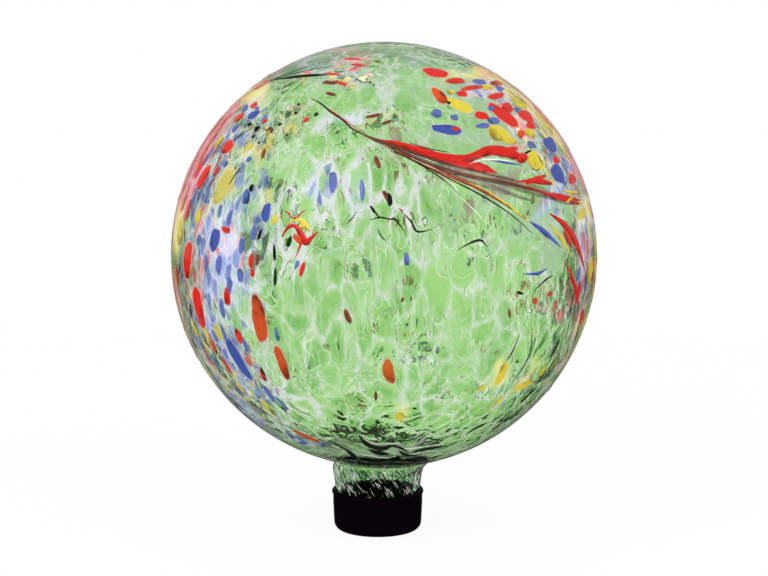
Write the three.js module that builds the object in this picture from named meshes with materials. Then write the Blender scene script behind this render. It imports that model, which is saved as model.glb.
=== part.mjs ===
// A garden gazing ball: a blown glass globe with an open neck, chips of coloured frit and
// pulled glass threads fused on its skin, and a rubber cap pushed over the neck as a foot.
// Millimetres, +Z up, the origin at the middle of the cap's underside, the front towards -Y.
import * as THREE from "three";
import { mergeVertices } from "three/addons/utils/BufferGeometryUtils.js";

// The ball
const BALL_RADIUS = 127;
const BALL_WALL = 2.4;
const BALL_SIDE_OFFSET = 3.8; // blown by hand, the ball sits a little to the right of its neck

// The neck, from its open end up to the ball
const NECK_END_RADIUS = 24.9;
const NECK_TOP_RADIUS = 28;
const NECK_LENGTH = 37.5;
const NECK_WALL = 3.5;
const NECK_FLARE_POWER = 3; // the neck widens slowly at first, then quickly near the ball
const SHOULDER_RADIUS = 5.5; // the hollow curve where the neck runs into the ball
const SHOULDER_START_ANGLE = 14; // degrees, where the flare runs into that curve
const NECK_LEAN_LENGTH = 8; // the height over which the neck steps across to the ball's middle

// The rubber cap
const CAP_HEIGHT = 25;
const CAP_WALL = 1.3;
const CAP_FLOOR = 2;
const CAP_CORNER_RADIUS = 5;
const CAP_BEAD_RADIUS = 1.5;
const CAP_BEAD_PROUD = 0.6;
const CAP_CLEARANCE = 0.3; // between the neck and the cap, all round and below

// The glass on the skin
const FRIT_THICKNESS = 0.7;
const THREAD_THICKNESS = 0.6;
const FUSE_CLEARANCE = 0.3; // between the skin and what is fused on it
const FRIT_OUTLINE_SHARES = [1, 0.6]; // the rings of points in one chip, as shares of its outline
const FRIT_OUTLINE_POINTS = 16;
const FRIT_WAVE_SHARE = 0.09; // how far a chip's outline strays from an oval

// Fineness of the round surfaces
const ROUND_SEGMENTS = 48;
const BALL_RINGS_OUTSIDE = 22;
const BALL_RINGS_INSIDE = 16;
const NECK_RINGS = 6;
const SHOULDER_RINGS = 4;
const EDGE_RINGS = 4;
const THREAD_SEGMENTS = 24;

// The frit chips that face the front. Each row is a chip's longitude and latitude on the ball, its
// width and height, and how far its top leans to the right, all in degrees of arc; longitude 0 is
// the front and the right is positive.
const FRONT_CHIP_ANGLES = {
  red: [
    [49.5, 45, 5, 9.6, -35],
    [31, 63, 6.8, 4.6, 0],
    [24.5, 53.2, 3.4, 6, -10],
    [63, 43.5, 6.6, 4.4, 0],
    [38.5, 45.5, 4.4, 2.6, 20],
    [-63.3, 2.6, 5.4, 11, 0],
    [-58.3, -9.3, 5.2, 12.6, -3],
    [-34, -9.5, 4.6, 14, -5],
    [-29, -21, 3, 10.6, -5],
    [1.3, -22.3, 3.3, 7.5, -8],
    [-58.5, 34, 5.7, 4.2, 0],
    [-64.5, 24.5, 5, 8, 10],
    [-22.5, 12, 3.4, 8, -50],
    [-32.5, -48.6, 2.4, 9, -52],
  ],
  yellow: [
    [-51.5, 23.5, 6.5, 10.7, 20],
    [31, 49.5, 3.8, 7.4, -55],
    [41.5, 39.5, 7, 4.6, 0],
    [52, 30.5, 6, 5.3, 0],
    [71.5, -1.5, 5, 7, 0],
    [-50.5, -15, 3, 5.4, -25],
    [-71, 9, 6, 8, 0],
    [35.5, -25, 2.8, 7, 10],
    [47, -30.5, 8, 2.6, -15],
    [-41.5, -37.5, 3, 6, -15],
  ],
  blue: [
    [22, 41.7, 8, 3, 10],
    [66, 34, 8, 4.3, 0],
    [61, 26, 7, 5, 0],
    [-14.5, 27, 2.2, 6.3, -12],
    [-50, 9.5, 4.2, 6.6, 0],
    [-33, 18, 2.9, 5.5, 0],
    [-45, -22, 4, 14, -20],
    [-41, 21.5, 2.9, 4, -8],
    [-56, 44.5, 4.5, 3.3, 0],
  ],
};

// The chips on the back follow the golden angle down the ball, so that they never line up.
const BACK_CHIPS_PER_COLOUR = 4;
const BACK_LONGITUDE_RANGE = [105, 255];
const BACK_LATITUDE_RANGE = [58, -42];
const BACK_CHIP_ANGLES = { width: 5, height: 9.5, lean: 24 };
const GOLDEN_SHARE = 0.618;

// The pulled threads: the stem and feather comb on the upper right, the swirls at their tips, and
// the thread over the crown. Each row is longitude, latitude and width, in degrees of arc.
const THREAD_ANGLES = {
  feather_stem: [
    [-32, 52, 0.2], [-25.5, 50, 0.5], [-20.5, 47.5, 0.5], [-15, 45, 0.5], [-10.5, 42, 0.5],
    [-6.4, 40.5, 0.3],
  ],
  feather_red_thread: [
    [-4, 39.3, 0.3], [0, 38.8, 0.8], [8, 36.9, 1.6], [18.5, 34.6, 2.4], [25, 33.2, 3],
    [33, 34, 3.4], [38, 33.4, 3], [44, 32, 0.5],
  ],
  feather_brown_thread: [
    [-2, 37.9, 0.3], [8, 34.2, 1.1], [20, 30.4, 1.5], [32, 27.6, 1.7], [41.5, 24.9, 1.8],
    [50.5, 22, 1.7], [59.5, 19.4, 1.4], [66.5, 18, 0.4],
  ],
  feather_amber_thread: [
    [1, 35.6, 0.3], [7.5, 32.4, 0.8], [14.5, 28.8, 1], [24.5, 25.2, 1.2], [31.5, 22.2, 1.2],
    [37.5, 18.9, 1], [41, 16.5, 0.3],
  ],
  feather_dark_thread: [
    [2.5, 33.9, 0.3], [8, 30.4, 0.45], [14, 26.6, 0.45], [21, 22.2, 0.2],
  ],
  swirl_blue_thread: [[42, 15, 0.3], [46.5, 12, 1.8], [53, 7.2, 0.3]],
  swirl_red_thread: [
    [50.5, 16.2, 0.4], [56.5, 12.4, 2.4], [61.5, 7, 3], [65.5, 0.5, 0.5],
  ],
  swirl_yellow_thread: [[49.2, 13.8, 0.3], [53.8, 9.2, 1.6], [58, 4, 0.3]],
  crown_thread: [
    [-73, 56.5, 0.3], [-62, 58.5, 1], [-52, 60, 1.7], [-33, 61.8, 1.6], [-25, 61.5, 0.3],
  ],
};

// Heights and places worked out from the sizes above
const LIP_RADIUS = NECK_WALL / 2;
const NECK_END_Z = CAP_FLOOR + CAP_CLEARANCE;
const SHOULDER_CENTRE = {
  r: NECK_TOP_RADIUS + SHOULDER_RADIUS,
  z: NECK_END_Z + NECK_LENGTH,
};
const BALL_TO_SHOULDER = BALL_RADIUS + SHOULDER_RADIUS;
const BALL_CENTRE_Z =
  SHOULDER_CENTRE.z + Math.sqrt(BALL_TO_SHOULDER ** 2 - SHOULDER_CENTRE.r ** 2);
const SHOULDER_TOP_Z =
  BALL_CENTRE_Z - ((BALL_CENTRE_Z - SHOULDER_CENTRE.z) * BALL_RADIUS) / BALL_TO_SHOULDER;
const BALL_CENTRE = new THREE.Vector3(BALL_SIDE_OFFSET, 0, BALL_CENTRE_Z);

// The glass of the globe
function glassMaterial() {
  return new THREE.MeshStandardMaterial({
    color: 0x96c982,
    roughness: 0.06,
    metalness: 0,
    transparent: true,
    opacity: 0.75,
  });
}

// The black rubber of the cap
function rubberMaterial() {
  return new THREE.MeshStandardMaterial({ color: 0x0c070e, roughness: 0.45, metalness: 0 });
}

// Coloured glass, by the name of its colour
function colouredGlassMaterial(colour) {
  const colours = {
    red: 0xdc2a1e,
    yellow: 0xe6d23c,
    blue: 0x3c50a0,
    brown: 0x7a3a22,
    amber: 0xc06a24,
    dark: 0x1c2a18,
  };
  return new THREE.MeshStandardMaterial({ color: colours[colour], roughness: 0.08, metalness: 0 });
}

// The outer radius of the neck at a height, below the shoulder's curve
function neckRadiusAt(z) {
  const start = shoulderPoint(THREE.MathUtils.degToRad(SHOULDER_START_ANGLE), SHOULDER_RADIUS);
  const share = THREE.MathUtils.clamp((z - NECK_END_Z) / (start.y - NECK_END_Z), 0, 1);
  return NECK_END_RADIUS + (start.x - NECK_END_RADIUS) * share ** NECK_FLARE_POWER;
}

// A point on a curve round the shoulder's centre; angle 0 points at the neck's axis
function shoulderPoint(angle, radius) {
  return new THREE.Vector2(
    SHOULDER_CENTRE.r - radius * Math.cos(angle),
    SHOULDER_CENTRE.z + radius * Math.sin(angle),
  );
}

// One side of the globe's wall from the neck's end to the top of the ball, as radius and height.
// The depths say how far inside the outer skin this side lies at the neck and on the ball.
function wallLine(startZ, neckDepth, ballDepth, ballRings) {
  const startAngle = THREE.MathUtils.degToRad(SHOULDER_START_ANGLE);
  const endAngle = Math.atan2(BALL_CENTRE_Z - SHOULDER_CENTRE.z, SHOULDER_CENTRE.r);
  const flareEndZ = shoulderPoint(startAngle, SHOULDER_RADIUS).y;
  const points = [];
  for (let i = 0; i < NECK_RINGS; i++) {
    const z = THREE.MathUtils.lerp(startZ, flareEndZ, i / NECK_RINGS);
    points.push(new THREE.Vector2(neckRadiusAt(z) - neckDepth, z));
  }
  for (let i = 0; i < SHOULDER_RINGS; i++) {
    const share = i / SHOULDER_RINGS;
    const depth = THREE.MathUtils.lerp(neckDepth, ballDepth, share);
    const angle = THREE.MathUtils.lerp(startAngle, endAngle, share);
    points.push(shoulderPoint(angle, SHOULDER_RADIUS + depth));
  }
  const ballStart = Math.asin(SHOULDER_CENTRE.r / BALL_TO_SHOULDER);
  const radius = BALL_RADIUS - ballDepth;
  for (let i = 0; i < ballRings; i++) {
    const angle = THREE.MathUtils.lerp(ballStart, Math.PI, i / ballRings);
    const across = radius * Math.sin(angle);
    points.push(new THREE.Vector2(across, BALL_CENTRE_Z - radius * Math.cos(angle)));
  }
  points.push(new THREE.Vector2(0, BALL_CENTRE_Z + radius));
  return points;
}

// An arc of points about a centre, from one angle to another in degrees
function arcPoints(centreR, centreZ, radius, fromDegrees, toDegrees, steps) {
  const points = [];
  for (let i = 0; i <= steps; i++) {
    const angle = THREE.MathUtils.degToRad(
      THREE.MathUtils.lerp(fromDegrees, toDegrees, i / steps),
    );
    const across = centreR + radius * Math.cos(angle);
    points.push(new THREE.Vector2(across, centreZ + radius * Math.sin(angle)));
  }
  return points;
}

// A closed profile of radius and height turned about the Z axis
function turned(points) {
  return new THREE.LatheGeometry(points, ROUND_SEGMENTS).rotateX(Math.PI / 2);
}

// The ball sits to one side of the neck: everything above the lean moves across by its offset
function leanToBall(geometry) {
  const position = geometry.getAttribute("position");
  for (let i = 0; i < position.count; i++) {
    const share = THREE.MathUtils.smoothstep(
      position.getZ(i),
      SHOULDER_TOP_Z - NECK_LEAN_LENGTH,
      SHOULDER_TOP_Z,
    );
    position.setX(i, position.getX(i) + BALL_SIDE_OFFSET * share);
  }
  return geometry;
}

// The globe: ball and neck blown as one, the neck's open end rounded in the flame
function glassGlobe() {
  const lipZ = NECK_END_Z + LIP_RADIUS;
  const outside = wallLine(lipZ, 0, 0, BALL_RINGS_OUTSIDE);
  const inside = wallLine(lipZ, NECK_WALL, BALL_WALL, BALL_RINGS_INSIDE);
  const lipR = (outside[0].x + inside[0].x) / 2;
  const lip = arcPoints(lipR, lipZ, LIP_RADIUS, 180, 360, EDGE_RINGS).slice(1, -1);
  const geometry = turned([...inside.reverse(), ...lip, ...outside]);
  return new THREE.Mesh(leanToBall(geometry), glassMaterial());
}

// The cap: a rubber cup that follows the neck, with a rounded foot and a bead round its rim
function rubberCap() {
  const boreAtEnd = NECK_END_RADIUS + CAP_CLEARANCE;
  const boreAtRim = neckRadiusAt(CAP_HEIGHT) + CAP_CLEARANCE;
  const footR = boreAtEnd + CAP_WALL - CAP_CORNER_RADIUS;
  const beadR = boreAtRim + CAP_WALL + CAP_BEAD_PROUD - CAP_BEAD_RADIUS;
  const beadZ = CAP_HEIGHT - CAP_BEAD_RADIUS;
  const boreCorner = LIP_RADIUS + CAP_CLEARANCE;
  const boreWall = [];
  for (let i = 0; i < EDGE_RINGS; i++) {
    const z = THREE.MathUtils.lerp(CAP_HEIGHT, CAP_FLOOR + boreCorner, i / EDGE_RINGS);
    boreWall.push(new THREE.Vector2(neckRadiusAt(z) + CAP_CLEARANCE, z));
  }
  const profile = [
    new THREE.Vector2(0, 0),
    ...arcPoints(footR, CAP_CORNER_RADIUS, CAP_CORNER_RADIUS, 270, 360, EDGE_RINGS),
    ...arcPoints(beadR, beadZ, CAP_BEAD_RADIUS, -50, 90, EDGE_RINGS + 2),
    ...boreWall,
    ...arcPoints(boreAtEnd - boreCorner, CAP_FLOOR + boreCorner, boreCorner, 0, -90, EDGE_RINGS),
    new THREE.Vector2(0, CAP_FLOOR),
  ];
  return new THREE.Mesh(turned(profile), rubberMaterial());
}

// The outward, rightward and upward directions on the ball at a longitude and latitude
function ballDirections(longitude, latitude) {
  const lon = THREE.MathUtils.degToRad(longitude);
  const lat = THREE.MathUtils.degToRad(latitude);
  const out = new THREE.Vector3(
    Math.cos(lat) * Math.sin(lon),
    -Math.cos(lat) * Math.cos(lon),
    Math.sin(lat),
  );
  const right = new THREE.Vector3(Math.cos(lon), Math.sin(lon), 0);
  return { out, right, up: new THREE.Vector3().crossVectors(right, out).negate().normalize() };
}

// A direction that lies some degrees of arc to the right of, and above, the place given
function offsetDirection({ out, right, up }, rightDegrees, upDegrees) {
  const arc = THREE.MathUtils.degToRad(Math.hypot(rightDegrees, upDegrees));
  const heading = new THREE.Vector3()
    .addScaledVector(right, rightDegrees)
    .addScaledVector(up, upDegrees)
    .normalize();
  return out.clone().multiplyScalar(Math.cos(arc)).addScaledVector(heading, Math.sin(arc));
}

// A point some height above the ball's skin
function skinPoint(direction, height) {
  return BALL_CENTRE.clone().addScaledVector(direction, BALL_RADIUS + height);
}

// A closed body from its points and triangles
function solidFrom(points, triangles) {
  const geometry = new THREE.BufferGeometry().setFromPoints(points);
  geometry.setIndex(triangles.flat());
  return mergeVertices(geometry);
}

// Triangles that join two rings of points, which start at two indices of the point list
function bandBetween(first, second, count) {
  const triangles = [];
  for (let i = 0; i < count; i++) {
    const next = (i + 1) % count;
    triangles.push([first + i, first + next, second + next]);
    triangles.push([first + i, second + next, second + i]);
  }
  return triangles;
}

// Triangles that join a ring of points to one point, counter-clockwise round the ring
function fanTo(first, centre, count) {
  const triangles = [];
  for (let i = 0; i < count; i++) {
    triangles.push([first + i, first + ((i + 1) % count), centre]);
  }
  return triangles;
}

// The same triangles facing the other way
function turnedOver(triangles) {
  return triangles.map(([a, b, c]) => [a, c, b]);
}

// How far a chip's outline lies from its middle at an angle, as a share; each chip differs
function outlineShare(angle, seed) {
  const wave = Math.cos(2 * angle + seed) + Math.cos(3 * angle + 2 * seed);
  return 1 - FRIT_WAVE_SHARE + (FRIT_WAVE_SHARE * wave) / 2;
}

// One chip of frit, melted to a thin lens that follows the ball
function fritChip([longitude, latitude, width, height, lean], seed, material) {
  const place = ballDirections(longitude, latitude);
  const tilt = THREE.MathUtils.degToRad(lean);
  const ringAt = (share, lift) => {
    const ring = [];
    for (let i = 0; i < FRIT_OUTLINE_POINTS; i++) {
      const angle = (2 * Math.PI * i) / FRIT_OUTLINE_POINTS;
      const reach = (share * outlineShare(angle, seed)) / 2;
      const across = reach * width * Math.cos(angle);
      const along = reach * height * Math.sin(angle);
      const rightDegrees = across * Math.cos(tilt) + along * Math.sin(tilt);
      const upDegrees = along * Math.cos(tilt) - across * Math.sin(tilt);
      ring.push(skinPoint(offsetDirection(place, rightDegrees, upDegrees), lift));
    }
    return ring;
  };
  const [rimShare, innerShare] = FRIT_OUTLINE_SHARES;
  const innerLift = FRIT_THICKNESS * Math.sqrt(1 - innerShare ** 2);
  const count = FRIT_OUTLINE_POINTS;
  const points = [
    ...ringAt(rimShare, FUSE_CLEARANCE),
    ...ringAt(innerShare, FUSE_CLEARANCE + innerLift),
    ...ringAt(innerShare, FUSE_CLEARANCE),
    skinPoint(place.out, FUSE_CLEARANCE + FRIT_THICKNESS),
    skinPoint(place.out, FUSE_CLEARANCE),
  ];
  const triangles = [
    ...bandBetween(0, count, count),
    ...fanTo(count, 3 * count, count),
    ...turnedOver(bandBetween(0, 2 * count, count)),
    ...turnedOver(fanTo(2 * count, 3 * count + 1, count)),
  ];
  return new THREE.Mesh(solidFrom(points, triangles), material);
}

// One pulled thread: a thin ribbon along the ball, drawn out to a point at each end
function pulledThread(rows, material) {
  const line = new THREE.CatmullRomCurve3(
    rows.map(([longitude, latitude]) => ballDirections(longitude, latitude).out),
  );
  const points = [skinPoint(line.getPoint(0).normalize(), FUSE_CLEARANCE)];
  for (let i = 1; i < THREAD_SEGMENTS; i++) {
    const share = i / THREAD_SEGMENTS;
    const out = line.getPoint(share).normalize();
    const side = new THREE.Vector3().crossVectors(out, line.getTangent(share)).normalize();
    const at = share * (rows.length - 1);
    const row = Math.floor(at);
    const width = THREE.MathUtils.lerp(rows[row][2], rows[row + 1][2], at - row);
    const half = THREE.MathUtils.degToRad(width / 2);
    const left = out.clone().addScaledVector(side, half).normalize();
    const right = out.clone().addScaledVector(side, -half).normalize();
    points.push(
      skinPoint(left, FUSE_CLEARANCE),
      skinPoint(out, FUSE_CLEARANCE),
      skinPoint(right, FUSE_CLEARANCE),
      skinPoint(out, FUSE_CLEARANCE + THREAD_THICKNESS),
    );
  }
  points.push(skinPoint(line.getPoint(1).normalize(), FUSE_CLEARANCE));
  const corners = 4;
  const rings = THREAD_SEGMENTS - 1;
  const last = 1 + corners * (rings - 1);
  const triangles = fanTo(1, 0, corners);
  for (let i = 0; i < rings - 1; i++) {
    triangles.push(...bandBetween(1 + corners * (i + 1), 1 + corners * i, corners));
  }
  triangles.push(...turnedOver(fanTo(last, points.length - 1, corners)));
  return new THREE.Mesh(solidFrom(points, triangles), material);
}

// The chips of one colour on the back, spread down it by the golden angle
function backChipRows(colourIndex, colourCount) {
  const rows = [];
  const total = BACK_CHIPS_PER_COLOUR * colourCount;
  for (let i = 0; i < BACK_CHIPS_PER_COLOUR; i++) {
    const place = i * colourCount + colourIndex;
    const turn = ((place + 1) * GOLDEN_SHARE) % 1;
    const longitude = THREE.MathUtils.lerp(...BACK_LONGITUDE_RANGE, turn);
    const latitude = THREE.MathUtils.lerp(...BACK_LATITUDE_RANGE, (place + turn) / total);
    const size = 1 - turn / 2;
    const lean = BACK_CHIP_ANGLES.lean * (1 - 2 * turn);
    rows.push([
      longitude,
      latitude,
      BACK_CHIP_ANGLES.width * size,
      BACK_CHIP_ANGLES.height * size,
      lean,
    ]);
  }
  return rows;
}

// Every chip of frit, named by its colour and its number in that colour
function fritChips() {
  const colours = Object.keys(FRONT_CHIP_ANGLES);
  return colours.flatMap((colour, colourIndex) => {
    const rows = [...FRONT_CHIP_ANGLES[colour], ...backChipRows(colourIndex, colours.length)];
    return rows.map((row, i) => {
      const chip = fritChip(row, i + colourIndex, colouredGlassMaterial(colour));
      chip.name = `${colour}_chip_${i + 1}`;
      return chip;
    });
  });
}

// Every pulled thread; its colour is the word in its name, and a name without one is dark
function pulledThreads() {
  return Object.entries(THREAD_ANGLES).map(([name, rows]) => {
    const colour = ["red", "yellow", "blue", "brown", "amber"].find((word) => name.includes(word));
    const thread = pulledThread(rows, colouredGlassMaterial(colour ?? "dark"));
    thread.name = name;
    return thread;
  });
}

const globe = glassGlobe();
globe.name = "glass_globe";
const cap = rubberCap();
cap.name = "rubber_cap";

const gazingBall = new THREE.Group();
gazingBall.name = "gazing_ball";
gazingBall.add(cap, globe, ...fritChips(), ...pulledThreads());

export default gazingBall;
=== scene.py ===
"""The looks of a garden gazing ball, laid out as a Blender add-on and run as a script.

Each operator makes one piece, or one group of like pieces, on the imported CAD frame: the crackled
glass globe, the frit and pulled threads in its skin, the rubber cap and the stage round them.
Lengths are in metres and follow the frame; places on the ball are longitude and latitude in
degrees, with longitude 0 at the front and the right positive.
"""

import math

import bpy
import numpy as np
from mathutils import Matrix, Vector


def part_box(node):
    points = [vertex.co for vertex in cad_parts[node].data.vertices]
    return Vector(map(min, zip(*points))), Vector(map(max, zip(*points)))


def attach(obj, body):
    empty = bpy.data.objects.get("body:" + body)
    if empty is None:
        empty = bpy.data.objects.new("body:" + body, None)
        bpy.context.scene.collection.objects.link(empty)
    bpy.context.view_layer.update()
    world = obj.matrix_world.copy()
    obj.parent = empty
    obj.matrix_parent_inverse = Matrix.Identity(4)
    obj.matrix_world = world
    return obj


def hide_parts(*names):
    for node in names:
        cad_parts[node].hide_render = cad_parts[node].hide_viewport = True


bl_info = {
    "name": "Garden gazing ball",
    "version": (1, 0, 0),
    "blender": (4, 5, 0),
    "location": "View3D > Sidebar > Gazing ball",
    "description": "Makes a blown glass gazing ball with its frit, threads and rubber cap",
    "category": "Object",
}

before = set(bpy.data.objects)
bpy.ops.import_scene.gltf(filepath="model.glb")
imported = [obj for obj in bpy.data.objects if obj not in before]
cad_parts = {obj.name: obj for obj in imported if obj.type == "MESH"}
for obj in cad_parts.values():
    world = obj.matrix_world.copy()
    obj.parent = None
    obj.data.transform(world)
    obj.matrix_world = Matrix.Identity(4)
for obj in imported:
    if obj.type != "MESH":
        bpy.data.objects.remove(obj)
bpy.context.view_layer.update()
MM = 0.001

GLOBE_LOW, GLOBE_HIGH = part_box("glass_globe")
CAP_LOW, CAP_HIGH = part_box("rubber_cap")
BALL_RADIUS = (GLOBE_HIGH.x - GLOBE_LOW.x) / 2
BALL_CENTRE = np.array([
    (GLOBE_HIGH.x + GLOBE_LOW.x) / 2,
    (GLOBE_HIGH.y + GLOBE_LOW.y) / 2,
    GLOBE_HIGH.z - BALL_RADIUS,
])
NECK_END_Z = GLOBE_LOW.z
SEED = 7
SMALL_SEED = SEED + 100
FRIT_COLOURS = ("red", "yellow", "blue")
SKY_BLUE = (0.45, 0.55, 1.0)  # what the small blue frit is lightened towards

# The colours of the soft patches below
HAZE_COLOURS = {
    "lavender": (0.42, 0.47, 0.80),
    "rose": (1.0, 0.17, 0.22),
    "pink": (0.85, 0.27, 0.33),
    "gold": (1.0, 0.86, 0.25),
    "yellow": (0.92, 0.80, 0.25),
    "moss": (0.31, 0.45, 0.29),
    "fern": (0.13, 0.25, 0.12),
    "mist": (0.74, 0.84, 0.62),
    "ochre": (0.52, 0.42, 0.10),
    "umber": (0.22, 0.11, 0.08),
    "grey": (0.38, 0.43, 0.44),
}

# Soft patches of colour deep in the glass of the ball, each as longitude, latitude, width, height
# and lean in degrees, and how strong it is. A patch fades out from its middle.
HAZE_ROWS = {
    "lavender": [
        (-52, 13, 26, 22, 0, 0.6), (-45, 3, 20, 20, 0, 0.6), (-48, -22, 9, 26, -24, 0.6),
        (-62, 37, 8, 8, 0, 0.7), (-68, 24, 6, 12, 0, 0.8), (-20, 26, 5, 12, -10, 0.4),
        (-7, 24, 6, 12, 0, 0.4), (-58, -40, 8, 16, -30, 0.5), (-37, -32, 5, 12, -15, 0.4),
        (-60, 47, 9, 8, 0, 0.7), (61, 28, 8, 8, 0, 0.7), (66, 10, 6, 12, 20, 0.6),
        (50, 18, 24, 5, -34, 0.6), (-38, -53, 9, 6, 0, 0.5), (-14, 47, 14, 5, -20, 0.4),
        (-84, -34, 12, 26, 0, 0.8), (84, 10, 12, 14, 0, 0.9), (64, -2, 6, 14, 10, 0.5),
        (72, 27, 10, 14, 0, 0.8), (60, 54, 12, 5, 0, 0.5), (-55, -8, 12, 20, 0, 0.4),
    ],
    "rose": [
        (-84, 31, 28, 36, 0, 2), (-87, 6, 12, 30, 0, 1.8), (-78, -8, 10, 12, 0, 1.4),
        (-70, 24, 6, 14, 8, 0.8), (-86, -34, 12, 24, 0, 0.8), (90, 48, 16, 24, 0, 1.4),
        (84, 27, 14, 20, 0, 1.4), (87, -6, 12, 26, 0, 1), (77, 60, 30, 8, 0, 0.7), (-70, 20, 5, 16, 0, 0.5),
    ],
    "pink": [
        (-73, 17, 8, 9, 0, 0.8), (-40, 9, 10, 6, 0, 0.4), (-64, -26, 7, 14, -15, 0.6),
        (50, 53, 20, 3, 0, 0.7), (64, 4, 5, 14, 0, 0.6), (68, -14, 5, 12, 10, 0.7),
        (-26, 70, 10, 5, 0, 0.8), (54, 33, 6, 4, 0, 0.5), (62, 52, 12, 6, 0, 0.5),
        (-74, -16, 5, 26, 0, 0.5), (58, 41, 12, 7, 0, 0.6), (69, -26, 5, 10, 10, 0.6),
        (-60, 77, 30, 5, 0, 0.5), (-36, 47, 6, 4, 0, 0.5), (48, 36, 6, 3, 0, 0.5),
    ],
    "gold": [
        (-84, 52, 40, 9, 0, 1.2), (-76, 9, 12, 17, 0, 1.6), (-84, -20, 10, 26, 0, 0.7),
        (-74, -36, 7, 12, -20, 0.9), (66, 55, 14, 9, -30, 1.4), (75, 43, 12, 22, -14, 1.8),
        (76, 14, 18, 8, -10, 1.6), (80, -2, 9, 20, 0, 1.3), (78, -24, 10, 26, 0, 1.2),
        (60, 62, 30, 5, 0, 0.8),
    ],
    "yellow": [
        (47, -29, 10, 6, -15, 0.8), (50, -24, 8, 6, 20, 0.5), (33, -28, 8, 5, -20, 0.5),
        (35.5, -24, 4, 9, 10, 0.7), (5, -36, 5, 8, 0, 0.6), (-49, -31, 4, 9, -20, 0.7),
        (-58, -33, 6, 10, -20, 0.5), (-34, 20, 6, 6, 0, 0.3), (-51, -4, 5, 10, 0, 0.35),
        (-62, 29, 5, 6, 0, 0.5), (-46, 32, 6, 6, 0, 0.3), (-56, -14, 6, 14, 0, 0.45),
        (62, 62, 20, 4, 0, 0.7),
    ],
    "moss": [
        (-15, 78, 60, 16, 0, 0.55), (45, 56, 34, 22, 0, 0.9), (26, 40, 34, 7, 4, 0.8),
        (48, 41, 24, 12, 0, 0.8), (-33, 8, 8, 20, -5, 0.45), (50, 9, 18, 14, -40, 0.6),
        (34, 24, 40, 7, -28, 0.6), (60, 20, 18, 8, -20, 0.5), (-35, -16, 6, 20, -8, 0.4),
        (6, 12, 14, 6, 0, 0.25), (-55, -42, 8, 14, -30, 0.5), (46, 4, 6, 16, 20, 0.4),
        (-28, 63, 24, 5, 0, 0.6), (20, -57, 90, 7, 0, 0.5), (-20, -57, 40, 7, 0, 0.5),
    ],
    "fern": [
        (-48, 66, 44, 8, 0, 0.9), (-66, 60, 20, 8, 0, 0.8), (-20, 74, 50, 7, 0, 0.6),
        (20, 80, 90, 6, 0, 0.3),
    ],
    "mist": [
        (-84, -4, 12, 22, 0, 1.8), (-84, -28, 12, 26, 0, 1.4), (-76, -12, 7, 18, 0, 0.7),
        (-74, -30, 9, 18, 0, 0.6),
    ],
    "ochre": [
        (42, 39.5, 10, 6, 0, 0.5), (52, 30.5, 8, 7, 0, 0.5), (60, 55, 14, 5, 0, 0.5),
        (-24, 62, 20, 5, 10, 0.6), (39, -35, 4, 6, 10, 0.6), (-42, -38, 5, 8, -20, 0.8),
        (-40, 42, 20, 8, 0, 0.4), (-2, 45.5, 14, 4, -15, 0.6), (48, -3, 8, 5, 0, 0.5),
    ],
    "umber": [
        (8, 35, 16, 3, -18, 0.7), (22, 30.4, 20, 4, -16, 0.7), (38, 25.8, 22, 4, -15, 0.6),
        (54, 21, 18, 4, -15, 0.5), (48, 38, 10, 6, 0, 0.3),
    ],
    "grey": [
        (-80, -52, 34, 20, 0, 0.9), (82, -46, 26, 24, 0, 0.9), (70, 5, 8, 12, 10, 0.6),
        (-76, 68, 40, 10, 0, 0.6), (60, 74, 60, 10, 0, 0.3), (36, 12, 16, 5, -30, 0.3),
    ],
}

# How dense the small dabs of colour are: places as above, and a chance from 0 to 1
DAB_ROWS = {
    "blue": [
        (-52, 8, 38, 50, 0, 0.62), (-47, -22, 17, 38, -22, 0.6), (-60, 32, 16, 34, 0, 0.55),
        (-64, -10, 14, 40, 0, 0.45), (-60, -40, 18, 28, -30, 0.55), (-16, 27, 14, 16, 0, 0.22),
        (62, 27, 18, 24, 0, 0.5), (68, 4, 14, 34, 10, 0.4), (57, 54, 22, 10, 0, 0.45),
        (54, 14, 16, 6, -36, 0.4), (-38, -50, 16, 14, -30, 0.4), (-54, 45, 18, 8, 0, 0.5),
        (78, 30, 14, 16, 0, 0.4),
    ],
    "pink": [
        (-60, 0, 24, 66, 0, 0.22), (-44, 9, 16, 14, 0, 0.3), (-70, 32, 14, 46, 0, 0.4),
        (64, 46, 24, 26, 0, 0.4), (68, -4, 14, 34, 10, 0.45), (48, -6, 16, 10, -10, 0.25),
        (72, 22, 12, 20, 0, 0.4), (-40, -24, 12, 20, -20, 0.18), (-24, 66, 26, 10, 0, 0.35),
        (56, -10, 12, 16, 0, 0.3),
    ],
    "cream": [
        (-54, 28, 24, 28, 0, 0.28), (-60, -18, 18, 30, -10, 0.3), (-34, 18, 12, 14, 0, 0.22),
        (-50, -36, 18, 22, -30, 0.35), (64, 34, 22, 30, 0, 0.4), (68, 14, 14, 24, 0, 0.35),
        (44, -30, 18, 14, 0, 0.3), (-26, 60, 24, 8, 0, 0.35), (66, -22, 14, 30, 10, 0.4),
        (-44, 42, 20, 10, 0, 0.25), (-42, 34, 10, 10, 0, 0.3),
    ],
    "dark": [
        (-34, 8, 12, 24, 0, 0.28), (-46, 42, 30, 12, 0, 0.3), (-14, 61, 26, 5, 10, 0.3),
        (55, -30, 12, 36, 20, 0.16), (-56, -42, 14, 18, -30, 0.2), (-45, -35, 18, 14, -30, 0.2),
        (-2, 44, 12, 7, -20, 0.3), (58, -14, 14, 22, 10, 0.2), (44, -8, 10, 6, 0, 0.25),
    ],
}

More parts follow.
